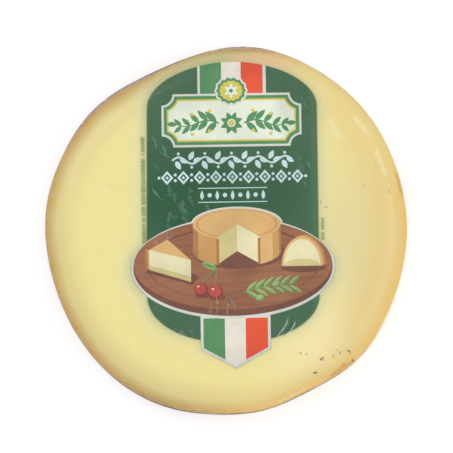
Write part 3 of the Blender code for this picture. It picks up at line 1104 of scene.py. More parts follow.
def draw_sprig():
    """Two laurel branches that part from a rosette in the plaque's middle."""
    x, y = PLAQUE[:2]
    y -= 1.2
    stem = [(x + 5.2 + 0.9 * i, y + 1.2 * math.sin(i / 20 * math.tau)) for i in range(20)]
    fields = [Field("green", ribbon_along(stem, 0.7, 0.5))]
    for i in range(1, 18, 4):
        long = 6.6 - 0.14 * i
        for lean in (44, -44):
            fields.append(Field("green", placed(leaf_shape(long, long * 0.4), *stem[i], lean)))
    fields.append(Field("green", placed(leaf_shape(4.4, 2.0), *stem[-1], 4)))
    for i in (3, 11):
        fields.append(Field("gold", arc(stem[i][0] + 1.0, stem[i][1] + 4.1, 0.75, 0.75)))
        fields.append(Field("gold", arc(stem[i][0] + 1.0, stem[i][1] - 4.1, 0.75, 0.75)))
    fields += mirrored(fields)
    for i in range(8):
        fields.append(Field("green", placed(leaf_shape(4.8, 2.3), x, y, 45 * i + 22.5)))
    fields.append(Field("plaque", arc(x, y, 1.7, 1.7)))
    fields.append(Field("gold", arc(x, y, 1.25, 1.25)))
    return fields


def draw_medallion():
    """A scalloped gold disc where the ribbon meets the plaque."""
    x, y = 0.0, 52.0
    scallops = [
        (x + (5.6 + 0.28 * math.cos(14 * a)) * math.cos(a), y + (5.0 + 0.28 * math.cos(14 * a)) * math.sin(a))
        for a in (math.tau * i / 112 for i in range(112))
    ]
    fields = [Field(ink, grown(scallops, by)) for ink, by in (("border", 0.9), ("green", 0.15), ("gold", -0.85))]
    for i in range(6):
        fields.append(Field("plaque", placed(leaf_shape(3.2, 1.5), x, y, 60 * i + 30)))
    fields.append(Field("green", arc(x, y, 0.8, 0.8)))
    return fields


def draw_garland(y, half_width, half_height):
    """A wavy vine with a leaf in each bend."""
    bends = 9
    pitch = 2 * half_width / bends
    steps = 12 * bends
    path = [
        (-half_width + 2 * half_width * i / steps, y + half_height * 0.42 * math.sin(math.pi * i / 12))
        for i in range(steps + 1)
    ]
    fields = [Field("pale_blue", ribbon_along(path, 0.75))]
    for i in range(bends):
        x = -half_width + pitch * (i + 0.5)
        side = 1 if i % 2 == 0 else -1
        fields.append(Field("pale_blue", placed(leaf_shape(4.0, 2.2), x - 1.2, y - side * 0.2, -side * 62)))
        fields.append(Field("pale_blue", placed(leaf_shape(3.6, 1.9), x + 0.4, y + side * 0.6, -side * 28)))
        fields.append(Field("pale_blue", arc(x - 0.2, y + side * half_height * 0.86, 0.6, 0.6)))
    return fields


def draw_lozenges(y, half_width, half_height):
    """Hollow lozenges with pairs of beads between them."""
    number = 9
    pitch = 2 * half_width / number
    fields = []
    for i in range(number):
        x = -half_width + pitch * (i + 0.5)
        for ink, part in (("pale_blue", 1.0), ("panel", 0.56), ("pale_blue", 0.26)):
            w, h = 2.5 * part, half_height * part
            fields.append(Field(ink, [(x - w, y), (x, y - h), (x + w, y), (x, y + h)]))
        if i < number - 1:
            for side in (1, -1):
                fields.append(Field("pale_blue", arc(x + pitch / 2, y + side * 1.15, 0.62, 0.62)))
    for side in (1, -1):
        fields.append(Field("pale_blue", arc(side * half_width, y, 0.62, 0.62)))
    return fields


def draw_beads(low, high, half_width):
    """A row of beads between two thin rules."""
    y = (low + high) / 2
    fields = [Field("pale_blue", block(-half_width, edge - 0.18, half_width, edge + 0.18)) for edge in (low, high)]
    number = 9
    for i in range(number):
        x = -half_width + 2 * half_width * (i + 0.5) / number
        if i % 2:
            fields.append(Field("pale_blue", arc(x, y, 0.9, 0.9)))
        else:
            fields.append(Field("pale_blue", placed(leaf_shape(3.8, 1.5), x, y - 1.9, 90)))
    return fields


WHEEL = (1.5, -2.6, 18.0, 6.4, 11.0)
NOTCH = (-118.0, -58.0)


def wheel_point(angle, height):
    """A point of the drawn wheel's rim: its angle seen from above, and its height's share."""
    x, y, across, deep, tall = WHEEL
    return (
        x + across * math.cos(math.radians(angle)),
        y + deep * math.sin(math.radians(angle)) - tall * (1 - height),
    )


def wheel_side(start, end):
    """A stretch of the drawn wheel's side."""
    x, y, across, deep, tall = WHEEL
    return arc(x, y, across, deep, start, end) + arc(x, y - tall, across, deep, end, start)


def draw_wheel():
    """A low round cheese with a wedge taken out of its front."""
    x, y, across, deep, tall = WHEEL
    foot = (x, y - tall)
    fields = [Field("wood_dark", arc(x + 1.0, y - tall - 0.6, across + 1.0, deep + 0.3))]
    fields.append(Field("rind", arc(x, y, across, deep, 0, 180) + arc(x, y - tall, across, deep, 180, 360)))
    fields.append(Field("rind_dark", wheel_side(-180, -152)))
    fields.append(Field("rind_light", wheel_side(-58, -36)))
    fields.append(Field("rind_dark", wheel_side(-18, 0)))
    fields.append(Field("rind_light", arc(x, y, across, deep)))
    fields.append(Field("rind", arc(x, y, across * 0.93, deep * 0.92)))
    fields.append(Field("rind_light", arc(x, y + 0.1, across * 0.88, deep * 0.87)))
    left, right = NOTCH
    opening = [(x, y), wheel_point(left, 1.0)] + arc(x, y - tall, across, deep, left, right) + [wheel_point(right, 1.0)]
    fields.append(Field("wood_dark", opening))
    fields.append(Field("paste_shade", [(x, y), wheel_point(left, 1.0), wheel_point(left, 0.0), foot]))
    fields.append(Field("paste", [(x, y), foot, wheel_point(right, 0.0), wheel_point(right, 1.0)]))
    for angle, inner in ((left, left + 4), (right, right - 4)):
        edge = [wheel_point(angle, 1.0), wheel_point(angle, 0.0), wheel_point(inner, 0.03), wheel_point(inner, 0.97)]
        fields.append(Field("rind_dark", edge))
    return fields


def draw_wedge():
    """The wedge that was taken out, lying to the left."""
    tip, tip_foot = (-17.5, -17.0), (-17.5, -26.0)
    back, back_foot = (-34.5, -12.6), (-34.5, -20.8)
    far = (-27.0, -8.4)
    return [
        Field("wood_dark", [(-36.0, -21.8), (-17.0, -27.2), (-14.0, -24.0), (-30.0, -16.0)]),
        Field("rind_light", [tip, far, back]),
        Field("paste", [tip, back, back_foot, tip_foot]),
        Field("paste_shade", [tip_foot, back_foot, (-34.5, -18.9), (-17.5, -23.8)]),
        Field("rind", [back, back_foot, (-36.2, -19.6), (-36.2, -11.9)]),
        Field("rind_dark", [(-36.2, -19.6), (-36.2, -11.9), (-35.2, -12.2), (-35.2, -20.2)]),
    ]


def draw_half_moon():
    """A half-round slice standing on the right, its rind outwards."""
    x, y = 28.0, -19.5
    return [
        Field("wood_dark", arc(x + 0.6, y - 1.2, 9.2, 2.0)),
        Field("rind_dark", arc(x + 1.4, y, 8.4, 12.4, 0, 180)),
        Field("rind", arc(x + 0.7, y - 0.3, 8.4, 12.2, 0, 180)),
        Field("rind_light", arc(x, y - 0.6, 8.4, 12.0, 0, 180)),
        Field("paste", arc(x, y - 0.6, 7.5, 11.0, 0, 180)),
        Field("paste_shade", arc(x, y - 0.6, 7.5, 3.0, 0, 180)),
    ]


def draw_cherries():
    """Two cherries and their stalks in front of the wedge."""
    fields = []
    joint = (-7.0, -20.6)
    for x, y, r in ((-13.6, -29.0, 2.9), (-7.6, -30.2, 3.0)):
        stalk = [(x + (joint[0] - x) * t, y + r * 0.6 + (joint[1] - y - r * 0.6) * t ** 0.8) for t in np.linspace(0, 1, 8)]
        fields.append(Field("wood_dark", arc(x + 0.9, y - r * 0.75, r * 1.1, r * 0.45)))
        fields.append(Field("leaf_dark", ribbon_along(stalk, 0.45)))
        fields.append(Field("berry_dark", arc(x, y, r, r * 0.96)))
        fields.append(Field("berry", arc(x - 0.25, y + 0.3, r * 0.84, r * 0.8)))
        fields.append(Field("white", arc(x - r * 0.35, y + r * 0.4, r * 0.16, r * 0.12)))
    fields.append(Field("leaf", placed(leaf_shape(6.6, 2.8), *joint, 158)))
    fields.append(Field("leaf_dark", placed(leaf_shape(6.6, 1.1), *joint, 160)))
    return fields


def draw_olive_branch():
    """A slim branch with long narrow leaves and two olives, lying at the front right."""
    stem = [(4.0 + 1.15 * i, -30.6 + 0.9 * math.sin(i / 5) + 0.16 * i) for i in range(19)]
    fields = [Field("leaf_dark", ribbon_along(stem, 0.6, 0.5))]
    for i in range(1, 18, 3):
        for lean in (38, -34):
            direction = lean + 6
            fields.append(Field("leaf", placed(leaf_shape(6.2, 1.9), *stem[i], direction)))
            half = [(x, y) for x, y in leaf_shape(6.2, 1.9) if y <= 0]
            fields.append(Field("leaf_dark", placed(half, *stem[i], direction)))
    for x, y in ((10.6, -32.8), (17.2, -27.3)):
        fields.append(Field("leaf_dark", arc(x, y, 1.9, 1.4, tilt=20)))
        fields.append(Field("leaf", arc(x - 0.2, y + 0.25, 1.4, 0.95, tilt=20)))
    return fields


def draw_board():
    """The oval wooden board with its white border, a dark side below and a groove."""
    x, y = OVAL_MIDDLE
    across, deep = OVAL_HALF
    wheel = arc(*WHEEL[:4], 0, 180) + [(WHEEL[0] - WHEEL[2], y), (WHEEL[0] + WHEEL[2], y)]
    return [
        Field("border", arc(x, y, across, deep)),
        Field("border", grown(wheel, 0.75)),
        Field("wood_dark", arc(x, y + 0.25, across - 0.95, deep - 0.95)),
        Field("wood", arc(x, y + 1.6, across - 1.15, deep - 2.3)),
        Field("wood_dark", arc(x, y + 1.9, across - 6.2, deep - 5.6)),
        Field("wood", arc(x, y + 1.5, across - 6.9, deep - 6.1)),
    ]


def draw_pennant():
    """Three stripes inside a pale border, pointed at the foot."""
    inner = pennant_outline(1.1)
    stripes = (("green", -14.0, -4.0), ("white", -4.0, 4.5), ("red", 4.5, 15.0))
    fields = [Field("border", pennant_outline())]
    return fields + [Field(ink, block(left, PENNANT_TIP, right, -41.0), inner) for ink, left, right in stripes]


def label_drawing():
    """All the fields of colour, the later over the earlier."""
    fields = draw_panel() + draw_ribbon() + draw_plaque() + draw_sprig() + draw_medallion()
    fields += draw_garland(23.7, 24.5, 3.2)
    fields += draw_lozenges(16.7, 30.0, 2.8)
    fields += draw_beads(6.5, 12.2, 14.1)
    fields += draw_pennant() + draw_board() + draw_wheel() + draw_wedge() + draw_half_moon()
    fields += draw_cherries() + draw_olive_branch()
    return fields


# ---------------------------------------------------------------- from drawing to sheet


def inside(points, outline):
    """Which of some points lie inside an outline."""
    found = np.zeros(len(points), bool)
    ring = np.array(outline)
    low, high = ring.min(0), ring.max(0)
    near = np.flatnonzero(((points >= low) & (points <= high)).all(1))
    px, py = points[near, 0], points[near, 1]
    crossed = np.zeros(len(near), bool)
    for (x0, y0), (x1, y1) in zip(ring, np.roll(ring, -1, axis=0)):
        if y0 != y1:
            between = (y0 > py) != (y1 > py)
            crossed ^= between & (px < (x1 - x0) * (py - y0) / (y1 - y0) + x0)
    found[near] = crossed
    return found


def label_to_frame(points):
    """Places on the label, in millimetres from its middle, as places of the frame."""
    tilt = settings().label.tilt
    low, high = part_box(LABEL_NODE)
    across = (low.x + high.x) / 2 + (OVAL_MIDDLE[1] * math.sin(tilt) - OVAL_MIDDLE[0] * math.cos(tilt)) * MM
    up = (low.y + high.y) / 2 - (LABEL_TOP + PENNANT_TIP) / 2 * MM * math.cos(tilt)
    x, y = points[:, 0] * MM, points[:, 1] * MM
    return across + x * math.cos(tilt) - y * math.sin(tilt), up + x * math.sin(tilt) + y * math.cos(tilt)


def on_film(points, lift):
    """Places on the label as points of the frame, at a height over the cheese."""
    x, y = label_to_frame(np.array(points, float))
    return [tuple(p) for p in np.stack([x, y, height_over_face(x, y, lift)], axis=1)]


def evenly(outline, longest):
    """An outline with its long edges divided, so that the sheet can follow the cheese's curve."""
    points = []
    for (x0, y0), (x1, y1) in zip(outline, outline[1:] + outline[:1]):
        steps = max(1, math.ceil(math.hypot(x1 - x0, y1 - y0) / longest))
        points += [(x0 + (x1 - x0) * i / steps, y0 + (y1 - y0) * i / steps) for i in range(steps)]
    return points


def cut_sheet(fields, pitch):
    """Cuts the plane along every field's edge: points, triangles, and the ink on each triangle."""
    corners, edges = [], []
    for drawn in dict.fromkeys(tuple(shape) for f in fields for shape in (f.outline, f.within) if shape):
        outline = evenly(drawn, 1.4)
        first = len(corners)
        corners += outline
        edges += [(first + i, first + (i + 1) % len(outline)) for i in range(len(outline))]
    span = np.array(fields[0].outline + [p for f in fields for p in f.outline])
    low, high = span.min(0), span.max(0)
    for row, y in enumerate(np.arange(low[1], high[1], pitch * 0.87)):
        corners += [(x, y) for x in np.arange(low[0] + pitch / 2 * (row % 2), high[0], pitch)]
    made = delaunay_2d_cdt([Vector(c) for c in corners], edges, [], 0, 1e-4, False)
    points = np.array([tuple(v) for v in made[0]])
    triangles = np.array([list(t) for t in made[2]])
    middles = points[triangles].mean(1)
    inks = np.full(len(triangles), -1)
    names = sorted({f.ink for f in fields})
    for field in fields:
        covered = inside(middles, field.outline)
        if field.within:
            covered &= inside(middles, field.within)
        inks[covered] = names.index(field.ink)
    return points, triangles[inks >= 0], inks[inks >= 0], names


# ---------------------------------------------------------------- operators


# Stretches of the rim that the smoke has browned most, with a painted shade along the top and the left, and where the
# ribbon's red glows in the paste: from and to in degrees, and how far in from the side in millimetres there. A stretch
# outside the side browns less.
BROWNED_AND_SHADED = (
    (9, 18, 0.0, 0.0),
    (13, 17, 1.1, 1.1),
    (66, 97, -0.4, -0.4),
    (76, 94, 0.9, 0.9),
    (97, 123, -1.0, -1.0),
    (123, 146, -0.4, -0.4),
    (176, 208, -1.3, -1.3),
    (214, 264, -0.5, -0.5),
    (301, 313, -0.8, 0.0),
    (304, 313, 0.2, 0.9),
    (307, 311, 1.4, 2.0),
)
BLUSH = ((71, 79, 5.5, 5.0), (80, 86, 6.0, 6.5))


def rim_path(start, end, first, last, lift=0.0):
    """Points over the shoulder from one direction to another, in degrees, at depths in from the side in millimetres."""
    packed = read_slice()
    steps = max(2, int(abs(end - start) / 1.5))
    angles = np.radians(np.linspace(start, end, steps + 1))
    reach = side_reach(angles, ring_at(packed.points, packed.waist)) - np.linspace(first, last, steps + 1) * MM
    x, y = reach * np.cos(angles), reach * np.sin(angles)
    return [tuple(p) for p in np.stack([x, y, height_over_face(x, y, lift)], axis=1)]


def along_rim(stretches):
    """All the points of some stretches of the rim."""
    return [point for stretch in stretches for point in rim_path(*stretch)]


class PROVOLONE_OT_cheese(Operator):
    """Makes the slice of cheese inside the film"""

    bl_idname = "provolone.cheese"
    bl_label = "Make Cheese"

    def execute(self, context):
        given = settings()
        packed = read_slice()
        shape = given.shape
        side = outline_guide("side_outline", ring_at(packed.points, packed.waist))
        points = section_points(packed, shape, (0.0, -shape.cheese_inset, 0.2 * MM))
        section = point_guide("cheese_section", points)
        browned = point_guide("browned_rim", along_rim(BROWNED_AND_SHADED))
        blush = point_guide("blush_rim", along_rim(BLUSH))
        spots = list(BLISTERS)
        for start, end in STREAKS:
            spots += [tuple(np.array(start) + (np.array(end) - start) * t) for t in np.linspace(0, 1, 7)]
        blisters = point_guide("blister_spots", on_film(spots, 0.0))
        values = {
            "Side Outline": side, "Seam Outline": side, "Section": section, "Turned Radius": shape.turned_radius,
            "Steps Round": shape.steps_round, "Steps Down": len(points), "Label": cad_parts[LABEL_NODE],
            "Browned": browned, "Blush": blush, "Blisters": blisters, "Unevenness": shape.unevenness, "Seed": 17.0,
            "Material": cheese_material(given.cheese),
        }
        piece = bake("cheese", cheese_tree(pressed_slice_group()), values)
        remove_guides(side, section, browned, blush, blisters)
        face_outwards(piece)
        dress(piece, "cheese", SLICE_NODE)
        return {"FINISHED"}


def face_outwards(piece):
    """Turns a closed mesh's faces outwards."""
    work = bmesh.new()
    work.from_mesh(piece.data)
    bmesh.ops.recalc_face_normals(work, faces=work.faces)
    if work.calc_volume(signed=True) < 0:
        bmesh.ops.reverse_faces(work, faces=work.faces)
    work.to_mesh(piece.data)
    work.free()


# Small air bubbles under the film, in millimetres across and up from the label's middle.
BLISTERS = ((-43.0, -30.0), (6.2, -62.0), (-52.0, 12.0))
# Streaks where the film is drawn tight over the paste, painted pale on it as highlights: from and to.
STREAKS = (((59.3, 26.2), (62.7, 17.6)), ((50.9, 40.0), (55.4, 34.5)), ((40.8, 38.9), (43.5, 32.8)))


class PROVOLONE_OT_film(Operator):
    """Wraps the cheese in clear film with its welded seam"""

    bl_idname = "provolone.film"
    bl_label = "Make Film"

    def execute(self, context):
        given = settings()
        packed = read_slice()
        shape, look = given.shape, given.film
        side = outline_guide("side_outline", ring_at(packed.points, packed.waist))
        seam = outline_guide("seam_outline", ring_at(packed.points, packed.seam))
        points = section_points(packed, shape, (look.top_lift, look.side_lift, 0.0), (look.seam_root / 2, look.seam_tip / 2))
        section = point_guide("film_section", points)
        blisters = point_guide("blister_places", on_film(BLISTERS, look.top_lift))
        values = {
            "Side Outline": side, "Seam Outline": seam, "Section": section, "Turned Radius": shape.turned_radius,
            "Steps Round": look.steps_round, "Steps Down": len(points), "Blisters": blisters,
            "Blister Height": look.blister_height, "Blister Reach": look.blister_reach, "Pleats": look.pleats,
            "Pleat Depth": look.pleat_depth, "Ruffle": look.ruffle, "Seed": 5.0, "Material": film_material(look),
        }
        piece = bake("film", film_tree(pressed_slice_group()), values)
        remove_guides(side, seam, section, blisters)
        face_outwards(piece)
        dress(piece, "film", SLICE_NODE)
        return {"FINISHED"}


class PROVOLONE_OT_label(Operator):
    """Lays the printed label on the cheese, cut along its fields of colour"""

    bl_idname = "provolone.label"
    bl_label = "Make Label"

    def execute(self, context):
        given = settings()
        points, triangles, inks, names = cut_sheet(label_drawing(), given.label.mesh_pitch / MM)
        used, corners = np.unique(triangles, return_inverse=True)
        mesh = bpy.data.meshes.new("label_print")
        faces = corners.reshape(-1, 3).tolist()
        mesh.from_pydata(on_film(points[used], given.label.lift), [], faces)
        for name in names:
            mesh.materials.append(self.material_of(name, given.inks))
        mesh.polygons.foreach_set("material_index", inks.astype(np.int32))
        mesh.shade_smooth()
        piece = link(bpy.data.objects.new("label_print", mesh))
        wall = piece.modifiers.new("wall", "SOLIDIFY")
        wall.thickness = given.label.wall
        wall.offset = -1.0
        dress(piece, "label", LABEL_NODE)
        return {"FINISHED"}

    @staticmethod
    def material_of(name, inks):
        """The material of one ink."""
        if name == "wood":
            return wood_material(name, inks.wood, inks.wood_dark)
        thin = tuple(inks.panel_pale) if name == "panel" else None
        return ink_material(name, tuple(getattr(inks, name)), thin)


class PROVOLONE_OT_margin(Operator):
    """Prints the dashes in the film's margins, beside the panel"""

    bl_idname = "provolone.margin"
    bl_label = "Make Margin Dashes"

    def execute(self, context):
        given = settings()
        finish = ink_material("margin", tuple(given.inks.margin))
        tree = dash_tree()
        strips = (("left", -36.5, 34.1, -9.8, 1.9, 3), ("right", 36.6, -0.9, -9.3, 1.5, 9))
        for name, across, high, low, wide, seed in strips:
            start, end = on_film([(across, high), (across, low)], given.label.lift)
            values = {
                "Start": start, "End": end, "Dashes": int((high - low) / 0.62), "Kept": 0.93, "Seed": seed,
                "Dash Size": (wide * MM, 0.42 * MM, 0.06 * MM), "Material": finish,
            }
            dress(bake(f"margin_dashes_{name}", tree, values), "label")
        return {"FINISHED"}


Gather = namedtuple("Gather", "across up reach_across reach_up direction long wide number")

# Where the film is creased, each crease painted as a faint highlight, in millimetres from the label's middle: place and
# reach, direction in degrees, the folds' usual length and width, and how many there are.
GATHERS = (
    Gather(-22.0, 2.0, 13.0, 14.0, 106, 4.4, 2.4, 17),
    Gather(-29.0, 24.0, 3.5, 12.0, 112, 6.0, 1.6, 6),
    Gather(28.0, 18.0, 5.0, 6.0, 128, 2.4, 0.9, 15),
    Gather(24.0, 27.0, 5.0, 6.0, 122, 3.0, 0.9, 6),
    Gather(29.0, 44.0, 3.0, 5.0, 120, 1.8, 0.9, 8),
    Gather(-9.0, -36.5, 14.0, 3.0, 82, 4.0, 1.3, 9),
    Gather(-24.0, -45.0, 6.0, 4.0, 115, 4.0, 1.0, 8),
    Gather(60.0, 20.0, 3.0, 9.0, 80, 4.0, 0.8, 6),
)
# Light caught on the shoulder: from and to in degrees, how far in there in millimetres, and width.
GLEAMS = ((285, 298, 2.1, 2.1, 0.7), (284, 284.6, 3.8, 10.0, 0.6), (286, 286.4, 4.2, 9.0, 0.5), (287.6, 288, 4.6, 8.0, 0.5))
# Glints on the weld: from and to in degrees, and how many there are.
GLINTS = ((56, 68, 8), (81, 94, 12), (112, 147, 6), (322, 352, 16))
# Two folds painted as highlights below the oval and one painted as shade between them: foot, how far they lean, height
# and width.
FOLDS = ((17.0, -49.0, 5.0, 8.3, 1.0), (21.5, -48.0, 3.3, 5.4, 1.1))
DARK_FOLD = (19.7, -49.0, 4.7, 9.4, 1.7)
# Specks of light on the paste at the lower right.
SPARKS = ((36.6, -36.0), (47.3, -40.9), (51.7, -42.3), (47.6, -52.4), (52.2, -50.7), (43.0, -22.0), (56.5, -30.5))
# The weld's edge, painted as a shadow line, a shaded band and a highlight: from and to in degrees, how far in there in
# millimetres, and width.
SHADOW_EDGES = ((93, 124, 0.0, 0.0, 0.34), (228, 272, 0.0, 0.0, 0.45), (256, 294, 0.0, 0.0, 0.4), (276, 315, 0.0, 0.0, 0.5))
SHADED_EDGES = ((113, 150, 0.7, 0.7, 1.1), (118, 144, 1.0, 1.0, 0.9))
HIGHLIGHT_EDGES = ((320, 334, 0.5, 0.2, 0.42), (328, 341, 0.45, 0.35, 0.5), (338, 347, 0.1, 0.35, 0.4), (343, 354, 0.4, 0.1, 0.4))


class PROVOLONE_OT_creases(Operator):
    """Lays small creases on the film, with painted highlights and a painted shade along them"""

    bl_idname = "provolone.creases"
    bl_label = "Make Creases"

    def execute(self, context):
        given = settings()
        draw = random.Random(21)
        paths = []
        for gather in GATHERS:
            for _ in range(gather.number):
                paths.append(self.fold(gather, draw, given.film.top_lift))
        lay_strokes("film_creases", paths, painted_light_material("film_crease", 0.07, (0.55, 0.9, 0.78)))
        dark = painted_light_material("film_shade", 0.5, tuple(channel * 0.8 for channel in given.inks.panel))
        lay_strokes("film_shades", [self.swing(DARK_FOLD, given.film.top_lift)], dark)
        bright = [self.swing(fold, given.film.top_lift) for fold in FOLDS]
        crease = [(-3.5 + 6.5 * t, -46.5 + 2.6 * t) for t in np.linspace(0, 1, 8)]
        bright.append((on_film(crease, given.film.top_lift), 0.3 * MM))
        for x, y in SPARKS:
            bright.append((on_film([(x, y - 0.4), (x + 0.1, y), (x + 0.3, y + 0.4)], given.film.top_lift), 0.3 * MM))
        for start, end, first, last, wide in GLEAMS:
            bright.append((rim_path(start, end, first, last, given.film.top_lift), wide / 2 * MM))
        lay_strokes("film_gleams", bright, painted_light_material("film_gleam", 0.26, (0.85, 0.97, 0.93)))
        return {"FINISHED"}

    @staticmethod
    def swing(fold, lift):
        """A long fold that rises ever more steeply, and half its width."""
        x, y, lean, tall, wide = fold
        points = [(x + lean * (1 - (1 - t) ** 1.7), y + tall * t) for t in np.linspace(0, 1, 10)]
        return on_film(points, lift), wide / 2 * MM

    @staticmethod
    def fold(gather, draw, lift):
        """One crease of a gather: a short bent path and half its width."""
        x = gather.across + draw.gauss(0, 0.5) * gather.reach_across
        y = gather.up + draw.gauss(0, 0.5) * gather.reach_up
        angle = math.radians(gather.direction + draw.gauss(0, 13))
        length = gather.long * draw.uniform(0.5, 1.4)
        bend = draw.uniform(-0.12, 0.12) * length
        points = []
        for t in np.linspace(-0.5, 0.5, 7):
            along, off = length * t, bend * (1 - 4 * t * t)
            points.append((x + along * math.cos(angle) - off * math.sin(angle), y + along * math.sin(angle) + off * math.cos(angle)))
        return on_film(points, lift), gather.wide / 2 * draw.uniform(0.6, 1.3) * MM


def lay_strokes(name, paths, material, slot="film", steps=9, flatness=0.35):
    """Lays tapered strokes along some paths, as one piece."""
    guide = path_guide(f"{name}_paths", paths)
    values = {"Paths": guide, "Steps": steps, "Flatness": flatness, "Material": material}
    piece = bake(name, stroke_tree(), values)
    remove_guides(guide)
    dress(piece, slot)


def weld_path(start, end, first, last, lift=0.0):
    """Points along the weld from one direction to another, in degrees, at depths in from its edge in millimetres."""
    packed = read_slice()
    steps = max(2, int(abs(end - start) / 1.5))
    angles = np.radians(np.linspace(start, end, steps + 1))
    reach = side_reach(angles, ring_at(packed.points, packed.seam)) - np.linspace(first, last, steps + 1) * MM
    return [(r * math.cos(a), r * math.sin(a), packed.seam + lift) for r, a in zip(reach, angles)]


class PROVOLONE_OT_weld(Operator):
    """Lays the weld's edges as a painted shadow line, a painted shaded band and a milky painted highlight, and its
    painted glints
    """

    bl_idname = "provolone.weld"
    bl_label = "Make Weld Edges"

    def execute(self, context):
        look = settings().film
        # Strokes of painted shadow, painted shade and painted highlight with a painted glow along the weld.
        kinds = (
            ("smoky", SHADED_EDGES, look.weld_shaded, 0.0), ("dark", SHADOW_EDGES, look.weld_shadow_line, 0.0),
            ("pale", HIGHLIGHT_EDGES, look.weld_highlight, 0.15),
        )
        for name, edges, tint, glow in kinds:
            paths = [(weld_path(start, end, first, last), wide / 2 * MM) for start, end, first, last, wide in edges]
            finish = weld_edge_material(f"weld_edge_{name}", tint, glow)
            lay_strokes(f"weld_edge_{name}", paths, finish, steps=60, flatness=0.6)
        draw = random.Random(8)
        glints = []
        for start, end, number in GLINTS:
            for _ in range(number):
                at = draw.uniform(start, end)
                inward = draw.uniform(0.0, 0.7)
                long = draw.uniform(0.5, 1.6) / 76 * 57.3
                path = weld_path(at, at + long, inward, inward + draw.uniform(-0.3, 0.3), 0.4 * MM)
                glints.append((path, draw.uniform(0.1, 0.22) * MM))
        lay_strokes("weld_glints", glints, painted_light_material("weld_glint", 0.95))
        return {"FINISHED"}


# Charred crumbs under the film, in millimetres from the label's middle: place, direction, length and width.
CRUMBS = (
    (35.2, -58.6, 75, 0.9, 0.38),
    (36.1, -58.5, 100, 0.7, 0.36),
    (35.7, -58.1, 10, 0.9, 0.3),
    (32.3, -63.8, 190, 0.9, 0.38),
    (32.9, -63.7, 195, 1.5, 0.36),
    (46.4, -55.9, -35, 2.0, 0.36),
    (48.8, -59.2, 130, 1.4, 0.44),
)
# Fainter specks: the same.
SPECKS = (
    (26.9, -55.6, 160, 0.8, 0.5),
    (29.3, -56.4, 40, 0.6, 0.4),
    (43.4, -56.2, 60, 1.6, 0.3),
    (40.6, -57.2, 90, 1.2, 0.35),
    (41.8, -55.0, 20, 0.6, 0.3),
    (36.4, 6.2, 120, 0.9, 0.4),
    (38.4, 3.6, 60, 0.9, 0.4),
    (53.8, 12.0, 20, 0.5, 0.4),
    (64.5, 9.6, 80, 0.9, 0.5),
)


class PROVOLONE_OT_crumbs(Operator):
    """Scatters a few charred crumbs under the film"""

    bl_idname = "provolone.crumbs"
    bl_label = "Make Crumbs"

    def execute(self, context):
        burnt = fleck_material("charred_crumb", linear(52, 36, 10), linear(96, 70, 30))
        lay_strokes("crumbs", self.bits(CRUMBS), burnt, "cheese", flatness=0.7)
        faint = fleck_material("rind_speck", linear(164, 144, 88), linear(196, 176, 118))
        lay_strokes("specks", self.bits(SPECKS), faint, "cheese", flatness=0.5)
        return {"FINISHED"}

    @staticmethod
    def bits(places):
        """Short bent paths at some places, and half their width."""
        paths = []
        for x, y, direction, length, wide in places:
            bent = arc(0, 0, length / 2, length / 3, 0, 180)
            paths.append((on_film(placed(bent, x, y, direction), 0.15 * MM), wide / 2 * MM))
        return paths


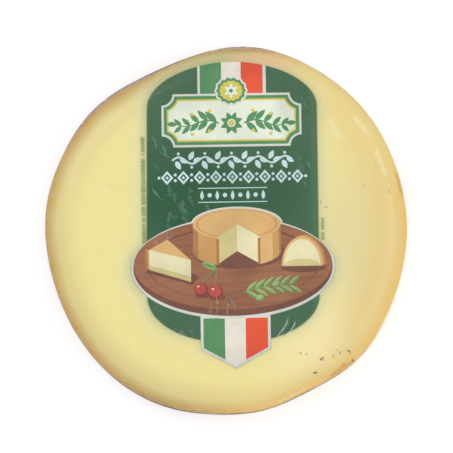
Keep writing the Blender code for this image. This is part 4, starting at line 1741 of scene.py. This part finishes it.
class PROVOLONE_OT_stage(Operator):
    """Sets up the floor, the soft lamps and the camera"""

    bl_idname = "provolone.stage"
    bl_label = "Make Stage"

    def execute(self, context):
        setup = settings().stage
        low, high = CAD_BOX
        middle = (low + high) / 2
        self.floor(setup)
        self.sky(setup)
        self.softbox("key_light", (-0.75, 0.55, 0.95), 0.8, setup.key_power, middle)
        self.softbox("fill_light", (0.95, -0.15, 0.75), 0.8, setup.fill_power, middle)
        camera = bpy.data.cameras.new("camera")
        camera.lens = setup.lens
        camera.sensor_width = setup.sensor
        seen = link(bpy.data.objects.new("camera", camera))
        waist = read_slice().waist
        seen.location = (middle.x + setup.aim_across, middle.y + setup.aim_up, waist + setup.view_width * setup.lens / setup.sensor)
        context.scene.camera = seen
        context.scene.view_settings.view_transform = "Standard"
        return {"FINISHED"}

    @staticmethod
    def floor(setup):
        """A wide floor at the slice's foot."""
        half = 2.5
        corners = [(-half, -half, 0), (half, -half, 0), (half, half, 0), (-half, half, 0)]
        mesh = bpy.data.meshes.new("floor")
        mesh.from_pydata(corners, [], [(0, 1, 2, 3)])
        mesh.materials.append(floor_material(setup.floor))
        link(bpy.data.objects.new("floor", mesh))

    @staticmethod
    def sky(setup):
        """Even light from all round."""
        world = bpy.data.worlds.new("studio")
        world.use_nodes = True
        background = world.node_tree.nodes["Background"]
        background.inputs["Color"].default_value = (0.97, 0.985, 1.0, 1.0)
        background.inputs["Strength"].default_value = setup.sky
        bpy.context.scene.world = world

    @staticmethod
    def softbox(name, place, width, power, target):
        """A square soft lamp that faces the slice."""
        lamp = bpy.data.lights.new(name, "AREA")
        lamp.size = width
        lamp.energy = power
        made = link(bpy.data.objects.new(name, lamp))
        made.location = place
        made.rotation_euler = (target - Vector(place)).to_track_quat("-Z", "Y").to_euler()


class VIEW3D_PT_provolone(Panel):
    """The slice's operators and settings"""

    bl_label = "Provolone Slice"
    bl_space_type = "VIEW_3D"
    bl_region_type = "UI"
    bl_category = "Provolone"

    def draw(self, context):
        for operator in OPERATORS:
            self.layout.operator(operator.bl_idname)
        given = context.scene.provolone
        for group_name in ProvoloneSettings.__annotations__:
            group = getattr(given, group_name)
            column = self.layout.box().column()
            for name in type(group).__annotations__:
                column.prop(group, name)


OPERATORS = (
    PROVOLONE_OT_cheese,
    PROVOLONE_OT_label,
    PROVOLONE_OT_margin,
    PROVOLONE_OT_crumbs,
    PROVOLONE_OT_film,
    PROVOLONE_OT_weld,
    PROVOLONE_OT_creases,
    PROVOLONE_OT_stage,
)
CLASSES = (
    SliceShape,
    CheeseColours,
    FilmLook,
    LabelShape,
    InkColours,
    StageSetup,
    ProvoloneSettings,
    *OPERATORS,
    VIEW3D_PT_provolone,
)


def register():
    """Adds the classes and the scene's settings."""
    for cls in CLASSES:
        bpy.utils.register_class(cls)
    bpy.types.Scene.provolone = PointerProperty(type=ProvoloneSettings)


def unregister():
    """Takes them away again."""
    del bpy.types.Scene.provolone
    for cls in reversed(CLASSES):
        bpy.utils.unregister_class(cls)


def main():
    """Makes every piece and the stage."""
    register()
    for operator in OPERATORS:
        category, name = operator.bl_idname.split(".")
        getattr(getattr(bpy.ops, category), name)()


if __name__ == "__main__":
    main()
